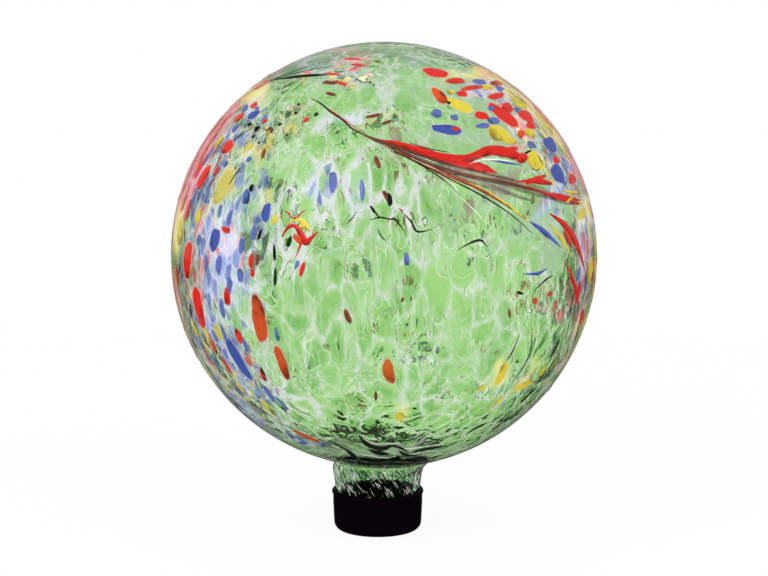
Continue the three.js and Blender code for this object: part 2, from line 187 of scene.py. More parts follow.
# The two colours between which the dabs of each kind lie
DAB_COLOURS = {
    "blue": ((0.07, 0.12, 0.46), (0.36, 0.44, 0.82)),
    "pink": ((0.78, 0.07, 0.07), (0.86, 0.36, 0.42)),
    "cream": ((0.82, 0.60, 0.10), (0.88, 0.82, 0.50)),
    "dark": ((0.02, 0.06, 0.03), (0.12, 0.26, 0.12)),
}

# The colour under the dabs and the one between them, and how finely they are sown
DAB_GROUND, DAB_GAP = (0.58, 0.66, 0.82), (0.84, 0.84, 0.95)
DABS_A_METRE = 215.0

# Where the dabs thin out towards the ball's outline: places as above
EDGE_ROWS = [(-90, 0, 36, 150, 0, 0.8), (90, 0, 36, 150, 0, 0.8)]

# Areas drawn smooth between the threads of the feather, without crackle: places as above
CALM_ROWS = [
    (24, 40, 44, 7, 2, 1), (48, 42, 40, 18, 0, 1), (32, 25, 54, 8, -28, 1), (52, 19, 34, 14, -24, 1),
    (52, 8, 20, 16, -42, 1), (48, 56, 44, 24, 0, 1), (62, 14, 20, 20, -20, 1), (-45, 60, 50, 5, 4, 0.8),
    (42, 18, 24, 8, -34, 0.9), (-88, 0, 34, 150, 0, 1), (88, 0, 34, 150, 0, 1), (40, 38, 50, 8, -4, 1),
]

# Where the gaps between the cells are widest and milky: places as above
MILK_ROWS = [
    (-16, 24, 30, 26, 0, 0.9), (-27, 10, 18, 24, 0, 0.8), (4, 22, 16, 20, 0, 0.7), (-42, 4, 30, 50, 0, 0.6),
    (-12, 46, 26, 8, -24, 0.7), (-32, -34, 24, 22, -10, 0.5), (8, 10, 20, 14, 0, 0.4),
    (-52, 34, 24, 24, 0, 0.5), (-40, -45, 24, 14, -30, 0.5), (14, -30, 16, 10, 20, 0.35),
    (30, -8, 14, 10, 0, 0.3), (26, -38, 20, 10, 20, 0.35), (-8, -14, 24, 16, 0, 0.25),
    (40, 3, 10, 6, 0, 0.4),
]

# Where thin dark lines run beside the pale ones: places as above
INK_ROWS = [
    (-30, 8, 16, 26, 0, 0.8), (-16, 16, 24, 14, 0, 0.6), (8, 15, 24, 12, 0, 0.8), (-42, 42, 34, 14, 0, 0.7),
    (-8, 45, 26, 9, -24, 0.8), (10, -48, 100, 16, 0, 0.7), (-44, -38, 24, 26, -30, 0.7),
    (26, -32, 26, 18, 20, 0.6), (46, -8, 20, 12, 0, 0.8), (44, -28, 22, 16, 10, 0.6),
    (-20, 64, 50, 8, 4, 0.8), (18, 18, 14, 10, -30, 0.5), (30, 6, 14, 10, -30, 0.4), (6, 30, 8, 12, 0, 0.5),
]

# Frit besides the chips that have solids of their own: longitude, latitude, width, height, lean
SMALL_FRIT_ROWS = {
    "red": [
        (38.6, 58.8, 6.4, 2.6, 0), (36, 53.5, 3.3, 2.4, 0), (55, 47, 6, 3, -20), (61, 40.5, 4.6, 2.6, 0),
        (45, 55.5, 9, 1.8, -4), (55, 51.5, 8, 2.2, -6), (48.5, 25.6, 9, 1.5, -8), (46.5, 31.8, 5, 2.6, -10),
        (24.6, 41.7, 3.4, 1.6, 8), (69, -13.5, 4, 6, 0), (70, 23.5, 8, 3.4, 0), (44, 34.6, 4, 1.6, 0),
        (-64, 43, 4, 4.5, 30), (-61, 47.5, 4, 3, 20), (-44.5, -4.5, 3, 6, 0), (-37, -26, 1.7, 4.4, -14),
        (-51.8, -25, 1.8, 7, -22), (-29, 44.5, 1.8, 2.2, 20), (-36, 5.5, 2, 5, 0), (-35.5, 2.5, 1.6, 3, 0),
        (-26, 71, 6, 1.6, 0), (-18, 67.5, 6, 1.3, 10), (-22, 58.5, 6, 1.5, 20), (-30, 62.3, 7, 1.3, 4),
        (48, -4.2, 2.2, 1.6, -20), (42.5, -5.5, 1.8, 2.6, 0), (-46, 12.5, 4, 2, 10), (-21, 4.5, 1.4, 5, 14),
        (-70, 27, 3, 9, 6), (-72, -3, 3, 8, 0), (62.5, -6, 3.4, 8, 12), (57, 9, 3, 7, -35),
        (67, 56, 8, 2, 0), (-47, 43, 2, 2, 0), (-58, 27, 2, 4, 10), (-68, 15, 2.6, 8, 6),
        (-42, -15, 3, 5, -10), (64, 29.5, 4, 2, 0), (52, 38.5, 4, 2, -20), (-55, -20, 2.4, 5, -16),
    ],
    "yellow": [
        (57.5, 38.5, 4.6, 2.8, 0), (45, 36.8, 4.4, 1.8, 0), (31, 54.4, 2.5, 1.6, 0), (69, 14, 10, 2.8, -6),
        (68, 48, 7, 4.6, 0), (-47, 35, 2.4, 2.4, 0), (-60, 14.5, 4, 5.2, 8), (-21.5, 15.5, 2.6, 2.6, 0),
        (-50, -31.5, 2.2, 5, -20), (5, -37.5, 2.6, 4.4, 0), (39, -34.5, 1.8, 4.2, 10), (54, -27, 3, 4, 10),
        (-66, 35, 4, 5, 20), (74, 40, 4, 8, 0), (62.5, 18.6, 7, 1.4, -8), (-42, 40, 1.8, 1.8, 0),
        (-30, 16.5, 2, 3, 10), (-57, -17, 2.4, 6, -8), (55, 55, 6, 2, -4), (-28, 66, 4, 1, 8),
        (-64, -16, 2.4, 6, -8), (30, -29, 3, 2, -20),
    ],
    "blue": [
        (20, 47, 3, 2.8, 0), (26.5, 45.5, 2.3, 2, 0), (42.5, 43.5, 4.2, 2.2, 0), (36.5, 42.2, 4.4, 1.8, 0),
        (54, 35, 3.6, 2.3, 0), (54, 57.5, 5.2, 2.4, 0), (64, 54, 4, 2.2, 0), (62, -1, 2.4, 5, 20),
        (-47.5, 3.4, 3, 6.2, 0), (-39.5, 1.5, 2.6, 4.4, 0), (-57.5, 8.6, 3.2, 3.6, 0),
        (-39.5, 9, 2.3, 5.4, 0), (-55, 29.4, 2.6, 2.6, 25), (-45, 31.5, 2.1, 2.2, 0),
        (5.7, 7.5, 1.8, 4, -6), (-68, 30, 2.6, 7, 6), (-66, 19, 2, 8, 6), (-43.5, -1.5, 2.2, 6, 0),
        (-47, -8, 2.4, 7, -4), (-53, 3, 2, 6, 0), (-36, 12.5, 2.2, 5, 0), (-45.5, 15.5, 2.4, 5, 0),
        (-52, -33.5, 2, 5, -20), (-37.5, -32, 2.4, 7.4, -14), (-38, -53, 5, 2.6, -30),
        (-22.5, 5.6, 1.3, 3, 24), (-61, 39.5, 3, 3, 0), (-66, 46, 5, 3, 30), (-48, -15, 1.8, 6, -14),
        (60, 45.8, 3, 2, -10), (46, 47.5, 3.4, 1.6, -10), (-58, -25, 2, 7, -18), (-50, 17, 2, 4.4, 0),
        (-58, 20, 2, 5, 4), (-40.5, -17, 1.8, 5, -10), (63, 23.2, 3, 2, 0), (-57, 46.6, 3.4, 1.6, 20),
        (-6, 25, 1.6, 7, -6), (-34, -35, 1.6, 6, -24), (-29, -13, 1.4, 5, -6),
    ],
    "dark": [
        (-40, 24, 1.9, 2.5, 0), (-39, 42.5, 1.4, 1.4, 0), (-26, 46.5, 1.4, 1.6, 20),
        (-48.5, 40.5, 2.2, 2.6, 0), (-35, 46.5, 1.4, 1.2, 0), (-36, 49.5, 1.2, 1.2, 0),
        (-34, 39.5, 1, 1, 0), (-44, 36.5, 1, 1, 0), (-48, 38, 1.2, 1.4, 0), (-54, 41.5, 1.8, 1.8, 0),
        (1.5, 22.5, 1.7, 4.4, -10), (-3, 20, 0.8, 3, -32), (5, -42, 3.2, 1.2, 4), (-34, 12.5, 1.2, 4, 10),
        (-29, 8, 1.2, 5, -8), (-28.5, 2, 1.2, 6, 0), (37, -2.8, 3, 1, 20), (54, -34.5, 1.6, 8, 40),
        (52, -44, 1.5, 10, 48), (56, -20.5, 1.5, 8, 14), (24, -44.5, 1, 2.6, 40), (-36.6, -24.5, 1, 3, -16),
        (-14, -36.5, 1.1, 3, -36), (-17, -42, 0.9, 3, -24), (0, -43.5, 0.8, 2.4, -40),
        (9.5, -34.5, 1.4, 0.7, 0), (40, -22, 1.4, 0.7, 0), (37, -41, 2.2, 0.7, 0), (-7, 59, 1, 1, 0),
        (-9, 60.5, 1, 0.8, 0), (-5, 58, 0.8, 0.8, 0), (-12, 59.5, 1.4, 0.7, 20), (-44, -36, 0.9, 3, -30),
        (-34.5, -37, 0.9, 3, -24), (-33, -43, 0.8, 1.6, -50), (-25, 11.2, 1.6, 4, 16),
        (27, 50.5, 2, 1.4, 0), (50.5, 33.2, 4.4, 0.7, -10), (54.6, 30.5, 0.7, 4, -6),
        (-48.4, 26, 0.6, 8, 20),
    ],
    "brown": [
        (-9.2, -7, 1.9, 4.6, -22), (-4, 46.5, 5, 1.4, -14), (1, 44.4, 4, 1.2, -24), (-2, 32.5, 1.6, 5, -20),
        (-42, 40.4, 3, 2.4, 0), (-24, 54, 4, 1.4, 16), (-28, 58.5, 5, 2, 4), (4.6, -2.6, 0.9, 1.7, 10),
        (6.8, -2.4, 0.6, 1.5, 0), (0.5, 23.5, 1.4, 4, -24), (34, -8, 0.8, 3, -20), (-34, 6, 1.4, 4, 0),
        (-40, 33.5, 1.4, 4, -10), (-2.4, -30, 1, 4, 0),
    ],
}

# Where larger frit is scattered over the sides: a range of longitude and one of latitude, and a share
SIDE_ROWS = {
    "red": [
        (-112, -73, 16, 46, 1), (-110, -78, -42, -22, 0.5), (80, 114, 14, 52, 1), (74, 104, -20, 0, 0.5),
        (-100, -70, 54, 64, 0.4),
    ],
    "yellow": [
        (-114, -72, 46, 56, 1), (-110, -76, 0, 16, 0.9), (-108, -78, -26, 0, 0.7), (66, 100, 32, 57, 0.9),
        (72, 108, 0, 15, 1), (76, 108, -36, -8, 0.8),
    ],
    "blue": [
        (-116, -90, -34, 44, 0.5), (90, 116, -34, 44, 0.5),
    ],
}

# Where the crumbs lie on the back: as above
BACK_ROWS = [(105, 255, -58, 66, 1)]

# The chips' colours where these are duller: orange low on the front and olive yellow at the left
MUTED = {"red": (0.66, 0.085, 0.022), "yellow": (0.66, 0.60, 0.13)}

# How clear each kind of frit is and how softly it ends
FRIT_GLASS = {
    "chip": (0.35, 0.12), "chip_muted": (0.35, 0.12), "chip_behind": (0.95, 0.02), "small": (0.4, 0.45),
    "crumb": (0.9, 0.05), "side": (0.3, 0.15), "thread": (0.1, 0.1),
    "brown_thread": (0.5, 0.35), "veil_thread": (0.9, 0.6),
}

# The pale rim of every chip and thread
FRIT_RIM = (0.93, 0.90, 0.82)

# How much paler than the chips some kinds are
PALER = {"chip_behind": 0.45, "crumb": 0.3, "side": 0.12}

# How much larger the chips are drawn than their solids, whose edges they melt past: most of them,
# those of the dense spray at the upper right and the one under the swirl; and small frit in the spray
CHIP_GROWTH, SPRAY_GROWTH, SWIRL_GROWTH, SMALL_GROWTH = 1.14, 1.26, 0.6, 1.25

# The pulled threads, by colour; each is a run of longitude, latitude and width
THREAD_ROWS = {
    "red": [
        [(-1, 38.9, 0.3), (4, 37.9, 1.5), (9.5, 36.3, 2.2), (16.7, 34, 2.6), (24.2, 32.9, 2.6),
         (28.8, 33.6, 2.4), (34.1, 34.7, 3.2), (39.5, 34.2, 3.8), (44, 32.9, 3.4), (47, 32.2, 0.8)],
        [(14, 34.2, 0.5), (21.4, 32, 2.6), (26.3, 31, 3), (31, 29.8, 2.6), (34.6, 28.4, 0.4)],
        [(44, 24.1, 0.3), (52.7, 20.9, 1.2), (60.2, 18.9, 1.7), (66, 17.6, 1.4), (69, 16.8, 0.4)],
        [(40.5, 25.6, 0.2), (45.5, 25.4, 1.2), (51, 24.7, 1.9), (55.6, 23.8, 0.8)],
        [(50.5, 16.2, 0.4), (56.5, 12.4, 2.4), (61.5, 7, 3), (65.5, 0.5, 0.5)],
        [(54, 21.4, 0.3), (60, 19.8, 1.2), (67, 18.2, 0.8), (71, 17.5, 0.2)],
        [(54.5, 3.5, 0.3), (60, -4, 2), (63, -9, 0.4)],
        [(-27.2, 12.2, 0.3), (-25.9, 14.5, 0.9), (-24.3, 15.3, 1.1), (-22.8, 14.5, 1.4), (-21.5, 12.7, 1.9),
         (-20.2, 11.3, 1.9), (-18.8, 12.6, 1.1), (-17.2, 14.1, 0.3)],
        [(-21.4, 12, 0.8), (-22, 9.8, 0.6), (-22.9, 7.4, 0.15)],
        [(-27.6, 18.8, 0.2), (-26.1, 18.3, 0.5), (-25, 17.3, 0.4), (-23.6, 17.3, 0.4), (-22.3, 18.7, 0.4),
         (-21, 19.4, 0.15)],
        [(-8, 41.4, 0.15), (-16, 45.8, 0.4), (-22, 48.6, 0.2)],
    ],
    "brown": [
        [(-9, 41.4, 0.3), (-4, 39.4, 1.1), (0.6, 37.9, 1.8), (6, 36, 1.9), (12, 34, 1.5), (20, 31.4, 0.9),
         (30, 28.6, 0.5), (40, 26, 0.2)],
        [(5, 35.4, 0.3), (14, 31.6, 0.9), (24, 28.4, 1.2), (32, 26.6, 1.2), (41.5, 24.3, 1.1),
         (50, 21.8, 0.4)],
    ],
    "amber": [
        [(0, 37, 0.2), (6, 34.8, 0.5), (10.2, 33.2, 0.6), (15.5, 30.3, 0.9), (20, 28.1, 1.1),
         (24.9, 25.9, 1.2), (29.3, 23.5, 1.1), (33.5, 20.8, 0.8), (37.5, 18.2, 0.6), (41, 15.8, 0.3)],
        [(3, 36, 0.2), (10, 32.6, 0.5), (16, 29.3, 0.6), (21, 26.6, 0.2)],
    ],
    "yellow": [
        [(49.2, 13.8, 0.3), (53.8, 9.2, 1.6), (58, 4, 0.3)],
        [(24, 26.6, 0.2), (29, 24.2, 0.4), (33, 21.6, 0.6), (37.5, 18.3, 0.9), (41.6, 14.6, 0.3)],
        [(60, 21.4, 0.3), (65, 20.4, 1), (71, 19.6, 0.3)],
        [(-26.2, 15.6, 0.2), (-24.2, 16.5, 0.6), (-22.2, 16.9, 1.4), (-20.8, 15.6, 1.6), (-19.4, 14, 0.4)],
    ],
    "blue": [
        [(42, 15, 0.3), (46.5, 12, 1.8), (53, 7.2, 0.3)],
        [(38, 2, 0.2), (43, 1.6, 0.9), (47, 2.6, 0.2)],
        [(33, 32.2, 0.2), (39, 31, 0.7), (45, 29.8, 0.2)],
    ],
    "dark": [
        [(-32, 52, 0.2), (-25.5, 50, 0.5), (-20.5, 47.5, 0.5), (-15, 45, 0.5), (-10.5, 42, 0.5),
         (-6.4, 40.5, 0.5), (-2, 38.6, 0.4), (3, 36.6, 0.2)],
        [(2, 35.6, 0.2), (6.4, 34.1, 0.4), (11, 31.6, 0.45), (15, 29, 0.45), (18, 26.5, 0.4),
         (21.6, 22.6, 0.2)],
        [(14, 30.2, 0.15), (20, 27, 0.4), (26, 23.8, 0.5), (33, 19.4, 0.45), (38.5, 15.2, 0.3),
         (42, 12, 0.15)],
        [(-73, 56.5, 0.3), (-62, 58.5, 1), (-52, 60, 1.7), (-40, 61.4, 1.4), (-33, 61.8, 0.4)],
        [(-70, 57, 0.2), (-55, 62, 0.4), (-35, 66, 0.2)],
        [(-70, 57, 0.2), (-58, 63.5, 0.4), (-40, 70, 0.2)],
        [(-11, 15.6, 0.12), (-8.4, 17.6, 0.3), (-7.4, 19.6, 0.12)],
        [(-3.6, 17.4, 0.12), (-1, 18, 0.5), (1.4, 17.6, 0.4), (3, 17.4, 0.6), (5.5, 14.2, 0.12)],
        [(-3, 20.6, 0.12), (-1.6, 18.4, 0.5), (-0.6, 17.8, 0.12)],
        [(4.4, 19.6, 0.12), (7, 17, 0.5), (8.6, 14.4, 0.6), (12.4, 14.8, 0.12)],
        [(-1.6, 15.2, 0.12), (-0.8, 13.4, 0.4), (0.6, 12, 0.12)],
        [(19, 9.4, 0.12), (22, 10.8, 0.5), (25.5, 11.5, 0.7), (27.4, 9.6, 0.12)],
        [(42, -2.6, 0.2), (46, -0.4, 0.6), (49, 0.4, 0.2)],
        [(38.4, -14, 0.15), (37, -19, 0.5), (35.6, -21.4, 0.15)],
        [(43, -14, 0.15), (44, -21, 0.5), (41, -28.6, 0.15)],
        [(3, 35.6, 0.2), (14, 30.4, 0.35), (26, 27.6, 0.15)],
        [(8, 38, 0.15), (14, 36.2, 0.35), (20, 35, 0.15)],
        [(48.6, 28.9, 0.15), (50.6, 27.9, 0.4), (53, 28.6, 0.15)],
        # The runs from here to the end of this list lie low on the front round the neck's root and are
        # painted shade: dark strokes standing in for the black cap seen through the glass
        [(-9.3, -45.5, 0.3), (-7.8, -49.1, 1.6), (-5.9, -51.1, 2.4), (-3.4, -52.1, 3), (-0.8, -52.8, 3.2),
         (1.1, -51.9, 2.2), (3, -51.2, 1.6), (5.2, -51.6, 1.6), (8.2, -53.3, 1), (11.6, -55.9, 0.3)],
        [(11.6, -56, 0.3), (15.8, -54.8, 2), (19.3, -54.1, 2.4), (23.4, -53.5, 1.8), (29.4, -53.2, 0.3)],
        [(-30, -63.4, 0.5), (-22, -65.2, 4), (-14.3, -65.6, 5.4), (-8.5, -67, 5), (-2, -66.8, 5.8),
         (4.1, -65.6, 5), (10.6, -66.8, 5.6), (19, -68.4, 4.4), (28, -67.4, 3), (36, -66, 0.5)],
        [(-19, -52, 0.3), (-16.4, -55.4, 1.6), (-15.4, -59.6, 1.8), (-14, -64, 0.4)],
        [(-23, -49.4, 0.2), (-20.2, -50.8, 1.2), (-18, -53, 0.3)],
        [(-7, -53.2, 0.4), (-2.5, -55.6, 3.4), (0.8, -56.6, 2.6), (3, -56.4, 0.4)],
        [(6.6, -54, 0.3), (11, -57.6, 2.2), (15, -58.4, 1.6), (19, -57.4, 0.3)],
        [(-14, -42, 0.2), (-11.6, -44.6, 0.7), (-9.6, -45.4, 0.2)],
        [(16, -47, 0.15), (20, -48.6, 0.6), (24, -48.2, 0.5), (30, -45.4, 0.15)],
        [(3, -47.6, 0.15), (8, -48.4, 0.5), (12, -47.4, 0.5), (15, -44.6, 0.15)],
    ],
    "pale": [
        [(5, 36, 0.1), (9.2, 34.4, 0.2), (12.5, 33.3, 0.22), (16.5, 31.7, 0.1)],
        [(8, 33.6, 0.1), (13, 31.4, 0.2), (18, 28.8, 0.1)],
        [(17, 27.4, 0.1), (21.6, 22.4, 0.2), (26, 17.6, 0.22), (29, 13, 0.1)],
        [(26, 31.4, 0.1), (31, 32.2, 0.5), (37, 31.9, 0.6), (43, 30.8, 0.1)],
        [(-8, -47, 0.1), (-4.4, -49.8, 0.3), (1, -49.8, 0.4), (6, -49.8, 0.2)],
        [(9, -53, 0.1), (13, -53, 0.4), (19, -52.2, 0.3), (26, -51.6, 0.1)],
        [(-12, -56.6, 0.1), (-7, -58, 0.3), (-1, -59.4, 0.3), (6, -58.4, 0.1)],
        [(17, -45.4, 0.1), (21, -46.8, 0.2), (26, -45.6, 0.2), (30.6, -43, 0.1)],
    ],
    "veil": [
        [(4, 36, 0.3), (12, 33.6, 1.8), (20, 31, 3.2), (30, 28, 4.2), (40, 25, 4.4), (50, 21.8, 3.8),
         (59, 18.8, 2.6), (68, 16.8, 0.5)],
        [(14, 31.6, 0.3), (22, 28.4, 1.8), (30, 25.4, 2.2), (38, 22.4, 1.6), (45, 20, 0.3)],
    ],
}

# How much darker than the chips of its colour a thread is
THREAD_SHADES = {"red": 0.66, "yellow": 0.8}

# How much higher each colour of thread lies in the skin, so that the upper ones hide the lower
THREAD_LIFTS = {
    "veil": -0.08 * MM, "brown": 0.09 * MM, "amber": 0.03 * MM, "dark": 0.05 * MM,
    "pale": 0.07 * MM, "red": 0.06 * MM, "yellow": 0.08 * MM, "blue": 0.04 * MM,
}

# How finely the globe is made: rows along the neck, the shoulder and the ball, and steps around
OUTER_ROWS, INNER_ROWS = (14, 8, 150), (10, 6, 84)
GLOBE_SEGMENTS = 400
LIP_STEPS = 6
FLARE_ANGLE = 14  # in degrees: where the neck's flare meets the hollow curve of the shoulder

# How finely the cap and the floor are made
CAP_SEGMENTS, FLOOR_SEGMENTS = 128, 96
BEND_STEPS, SIDE_STEPS, BORE_STEPS = 12, 6, 6

# How finely the frit and threads are made, and how they lie in the skin
CHIP_POINTS, FRIT_POINTS = 40, 26
LENS_RINGS = (1, 0.96, 0.9, 0.8, 0.6, 0.3)  # as shares of a lens's width, from its rim inwards
RIBBON_STEPS = 40
THINNEST = 0.0008  # a thread's least half width, in radians
PATCH_STEP = 5  # in degrees, for the skin that frit is scattered on
SUNK = 0.1 * MM  # how deep the rims of chips and threads lie under the skin
RIM_HEIGHT = 0.05 * MM

# How sharply and how far the edges of the painted patches wave, the ball's radius being 1
EDGE_WAVES, EDGE_WAVE = 24, 0.025

# The two noises that pull the crackle about: how many waves a metre and how far
CRACKLE_WARPS = ((38, 17 * MM), (130, 4.5 * MM))

# From where to where, along Y, the plain back takes over from the front
BACK_FADE = (-12 * MM, 44 * MM)

# The thin lines drawn over the crackle
CONTOUR_WHITE = (0.98, 1.0, 0.97)
STRAND_WHITE, STRAND_DARK = (0.95, 1.0, 0.93), (0.06, 0.16, 0.05)

# How fast the streaks twist down the neck, in radians a metre, how many there are to a metre,
# and their colours, the white streaks being painted reflections; the neck is lighter at its top
NECK_TWIST = 24.0
BROAD_STREAKS, THIN_STREAKS = 150, 1150
STREAK_GREENS = ((0.10, 0.22, 0.11), (0.46, 0.68, 0.38))
STREAK_REFLECTION_WHITE, STREAK_DARK = (0.97, 1.0, 0.95), (0.01, 0.05, 0.02)
NECK_TOP = (0.66, 0.88, 0.54)

# The painted shade round the neck's root, standing in for the black cap seen through the glass: its radius,
# how far it waves, how much further it reaches at the front, and the height at which it ends; and its colour
ROOT_SHADE_RADIUS, ROOT_SHADE_WAVE, ROOT_SHADE_TONGUE, ROOT_SHADE_TOP = 41 * MM, 24 * MM, 26 * MM, 60 * MM
ROOT_SHADE_COLOUR = (0.002, 0.006, 0.002)

# The lamps: name, place and power, all of one size; and how far the floor lies below the cap
LAMPS = (("key_lamp", (-1.1, -1.5, 1.7), 30), ("fill_lamp", (1.5, -1.2, 1.2), 14))
LAMP_SIZE = 1.6
FLOOR_GAP = 0.1 * MM
WHITE = (1, 1, 1, 1)

# How white the floor is to the eye near the object, and how far off it becomes wholly white
FLOOR_WHITENESS = 0.92
FLOOR_FADE = (0.30, 0.75)

# Where a Mix node of colours has its inputs and its output
MIX_INPUTS, MIX_OUTPUT = (0, 6, 7), 2

# How strongly glass bends light; the dark frit does so little, so that it mirrors little
GLASS_IOR, DARK_IOR = 1.5, 1.1


def a_number(name, description, default, **more):
    """A setting that is a number."""
    return bpy.props.FloatProperty(name=name, description=description, default=default, **more)


def a_length(name, description, default, **more):
    """A setting that is a length."""
    return a_number(name, description, default, subtype="DISTANCE", unit="LENGTH", **more)


def a_colour(name, what, default):
    """A setting that is the colour of something."""
    return bpy.props.FloatVectorProperty(name=name, description="Colour of the " + what, default=default,
                                         subtype="COLOR", min=0, max=1)


class GlobeSettings(bpy.types.PropertyGroup):
    """The glass globe: ball and neck blown as one."""

    ball_wall: a_length("Ball wall", "Glass thickness in the ball", 2.4 * MM, min=0.5 * MM)
    neck_wall: a_length("Neck wall", "Glass thickness in the neck", 3.5 * MM, min=0.5 * MM)
    neck_end_radius: a_length("Neck end radius", "Outer radius of the neck at its open end", 24.9 * MM)
    neck_top_radius: a_length("Neck top radius", "Outer radius of the neck under the ball", 28 * MM)
    neck_length: a_length("Neck length", "From the open end up to the shoulder", 37.5 * MM)
    shoulder_radius: a_length("Shoulder radius", "Hollow curve between the neck and the ball", 5.5 * MM)
    lean_length: a_length("Lean length", "Height over which the neck steps across to the ball", 8 * MM)
    cell_size: a_length("Cell size", "Width of one cell of the crackle", 11 * MM)
    dimple_size: a_length("Dimple size", "Width of one dimple on the inside of the glass", 15 * MM)
    dimple_depth: a_length("Dimple depth", "How much the glass thickness changes across a dimple", 0.15 * MM)
    glass_green: a_colour("Green", "front wall in a light cell", (0.46, 0.76, 0.30))
    glass_deep: a_colour("Deep green", "front wall in a dark cell", (0.27, 0.56, 0.18))
    glass_calm: a_colour("Smooth green", "smooth areas between the threads", (0.41, 0.62, 0.33))
    glass_light: a_colour("Light green", "glass towards the border of a cell", (0.66, 0.86, 0.56))
    glass_pale: a_colour("Pale gap", "gaps between the cells", (0.92, 0.86, 0.99))
    glass_dark: a_colour("Dark line", "dark lines round some cells", (0.02, 0.05, 0.02))
    glass_back: a_colour("Back wall", "plainer glass at the back", (0.88, 0.95, 0.86))


class FritSettings(bpy.types.PropertyGroup):
    """Coloured glass melted into the skin."""

    crown: a_length("Crown", "How far a chip stands proud of the skin", 0.25 * MM)
    depth: a_length("Depth", "How far a chip reaches into the wall", 0.5 * MM)
    red: a_colour("Red", "red frit", (0.85, 0.024, 0.013))
    yellow: a_colour("Yellow", "yellow frit", (0.85, 0.68, 0.06))
    blue: a_colour("Blue", "blue frit", (0.06, 0.10, 0.42))
    brown: a_colour("Brown", "brown glass", (0.22, 0.055, 0.025))
    amber: a_colour("Amber", "amber threads", (0.32, 0.05, 0.015))
    dark: a_colour("Dark", "darkest glass", (0.008, 0.016, 0.008))
    veil: a_colour("Veil", "thin smoky glass of the feather", (0.64, 0.48, 0.46))
    pale: a_colour("Pale", "pale threads", (0.86, 0.92, 0.82))


class CrumbSettings(bpy.types.PropertyGroup):
    """Frit scattered over the sides and the back."""

    size: a_length("Crumb size", "Half the length of a middling crumb at the back", 3.2 * MM)
    side_size: a_length("Side size", "Half the length of a middling chip at the sides", 6.5 * MM)
    slimness: a_number("Slimness", "Width of a chip as a share of its length", 0.5, min=0.1, max=1)
    thickness: a_length("Thickness", "Half the thickness of a middling chip", 0.22 * MM)
    depth: a_length("Depth", "How deep the middles of the chips lie under the skin", 0.02 * MM)
    density: a_number("Crumb density", "Crumbs of one colour on a square metre of the back", 700, min=0)
    side_density: a_number("Side density", "Chips of one colour on a square metre of the sides", 9000, min=0)
    seed: bpy.props.IntProperty(name="Seed", description="Picks another scatter", default=SEED)


class CapSettings(bpy.types.PropertyGroup):
    """The rubber cap."""

    wall: a_length("Wall", "Thickness of the rubber round the neck", 1.3 * MM)
    floor: a_length("Floor", "Thickness of the rubber under the neck", 2 * MM)
    taper: a_length("Taper", "How much narrower the cap is at its foot than under its bead", 0.7 * MM)
    corner_radius: a_length("Corner radius", "Rounding of the foot", 5 * MM)
    bore_corner: a_length("Bore corner", "Rounding of the corner inside", 2 * MM)
    bead_radius: a_length("Bead radius", "Radius of the bead round the rim", 1.5 * MM)
    bead_proud: a_length("Bead proud", "How far the bead stands out from the wall", 0.6 * MM)
    rubber: a_colour("Rubber", "rubber", (0.0025, 0.0009, 0.0029))


class StageSettings(bpy.types.PropertyGroup):
    """The floor, the light and the camera."""

    camera_height: a_length("Camera height", "Height of the camera over the floor", 409.2 * MM)
    camera_distance: a_length("Camera distance", "From the ball's middle to the camera, level", 1581.7 * MM)
    camera_pitch: a_number("Camera pitch", "How far the camera looks down", math.radians(9.38),
                           subtype="ANGLE", unit="ROTATION")
    lens: a_number("Lens", "Focal length in millimetres on a 36 mm sensor", 125.4)
    floor_radius: a_length("Floor radius", "Radius of the round floor", 1.6)
    world_light: a_number("World light", "Level of the soft light from all round", 0.83)
    mirrored_light: a_number("Mirrored light", "Level of the studio as the glass mirrors it", 0.38)
    mirrored_floor: a_number("Mirrored floor", "Level of the floor as the glass mirrors it", 0.02)


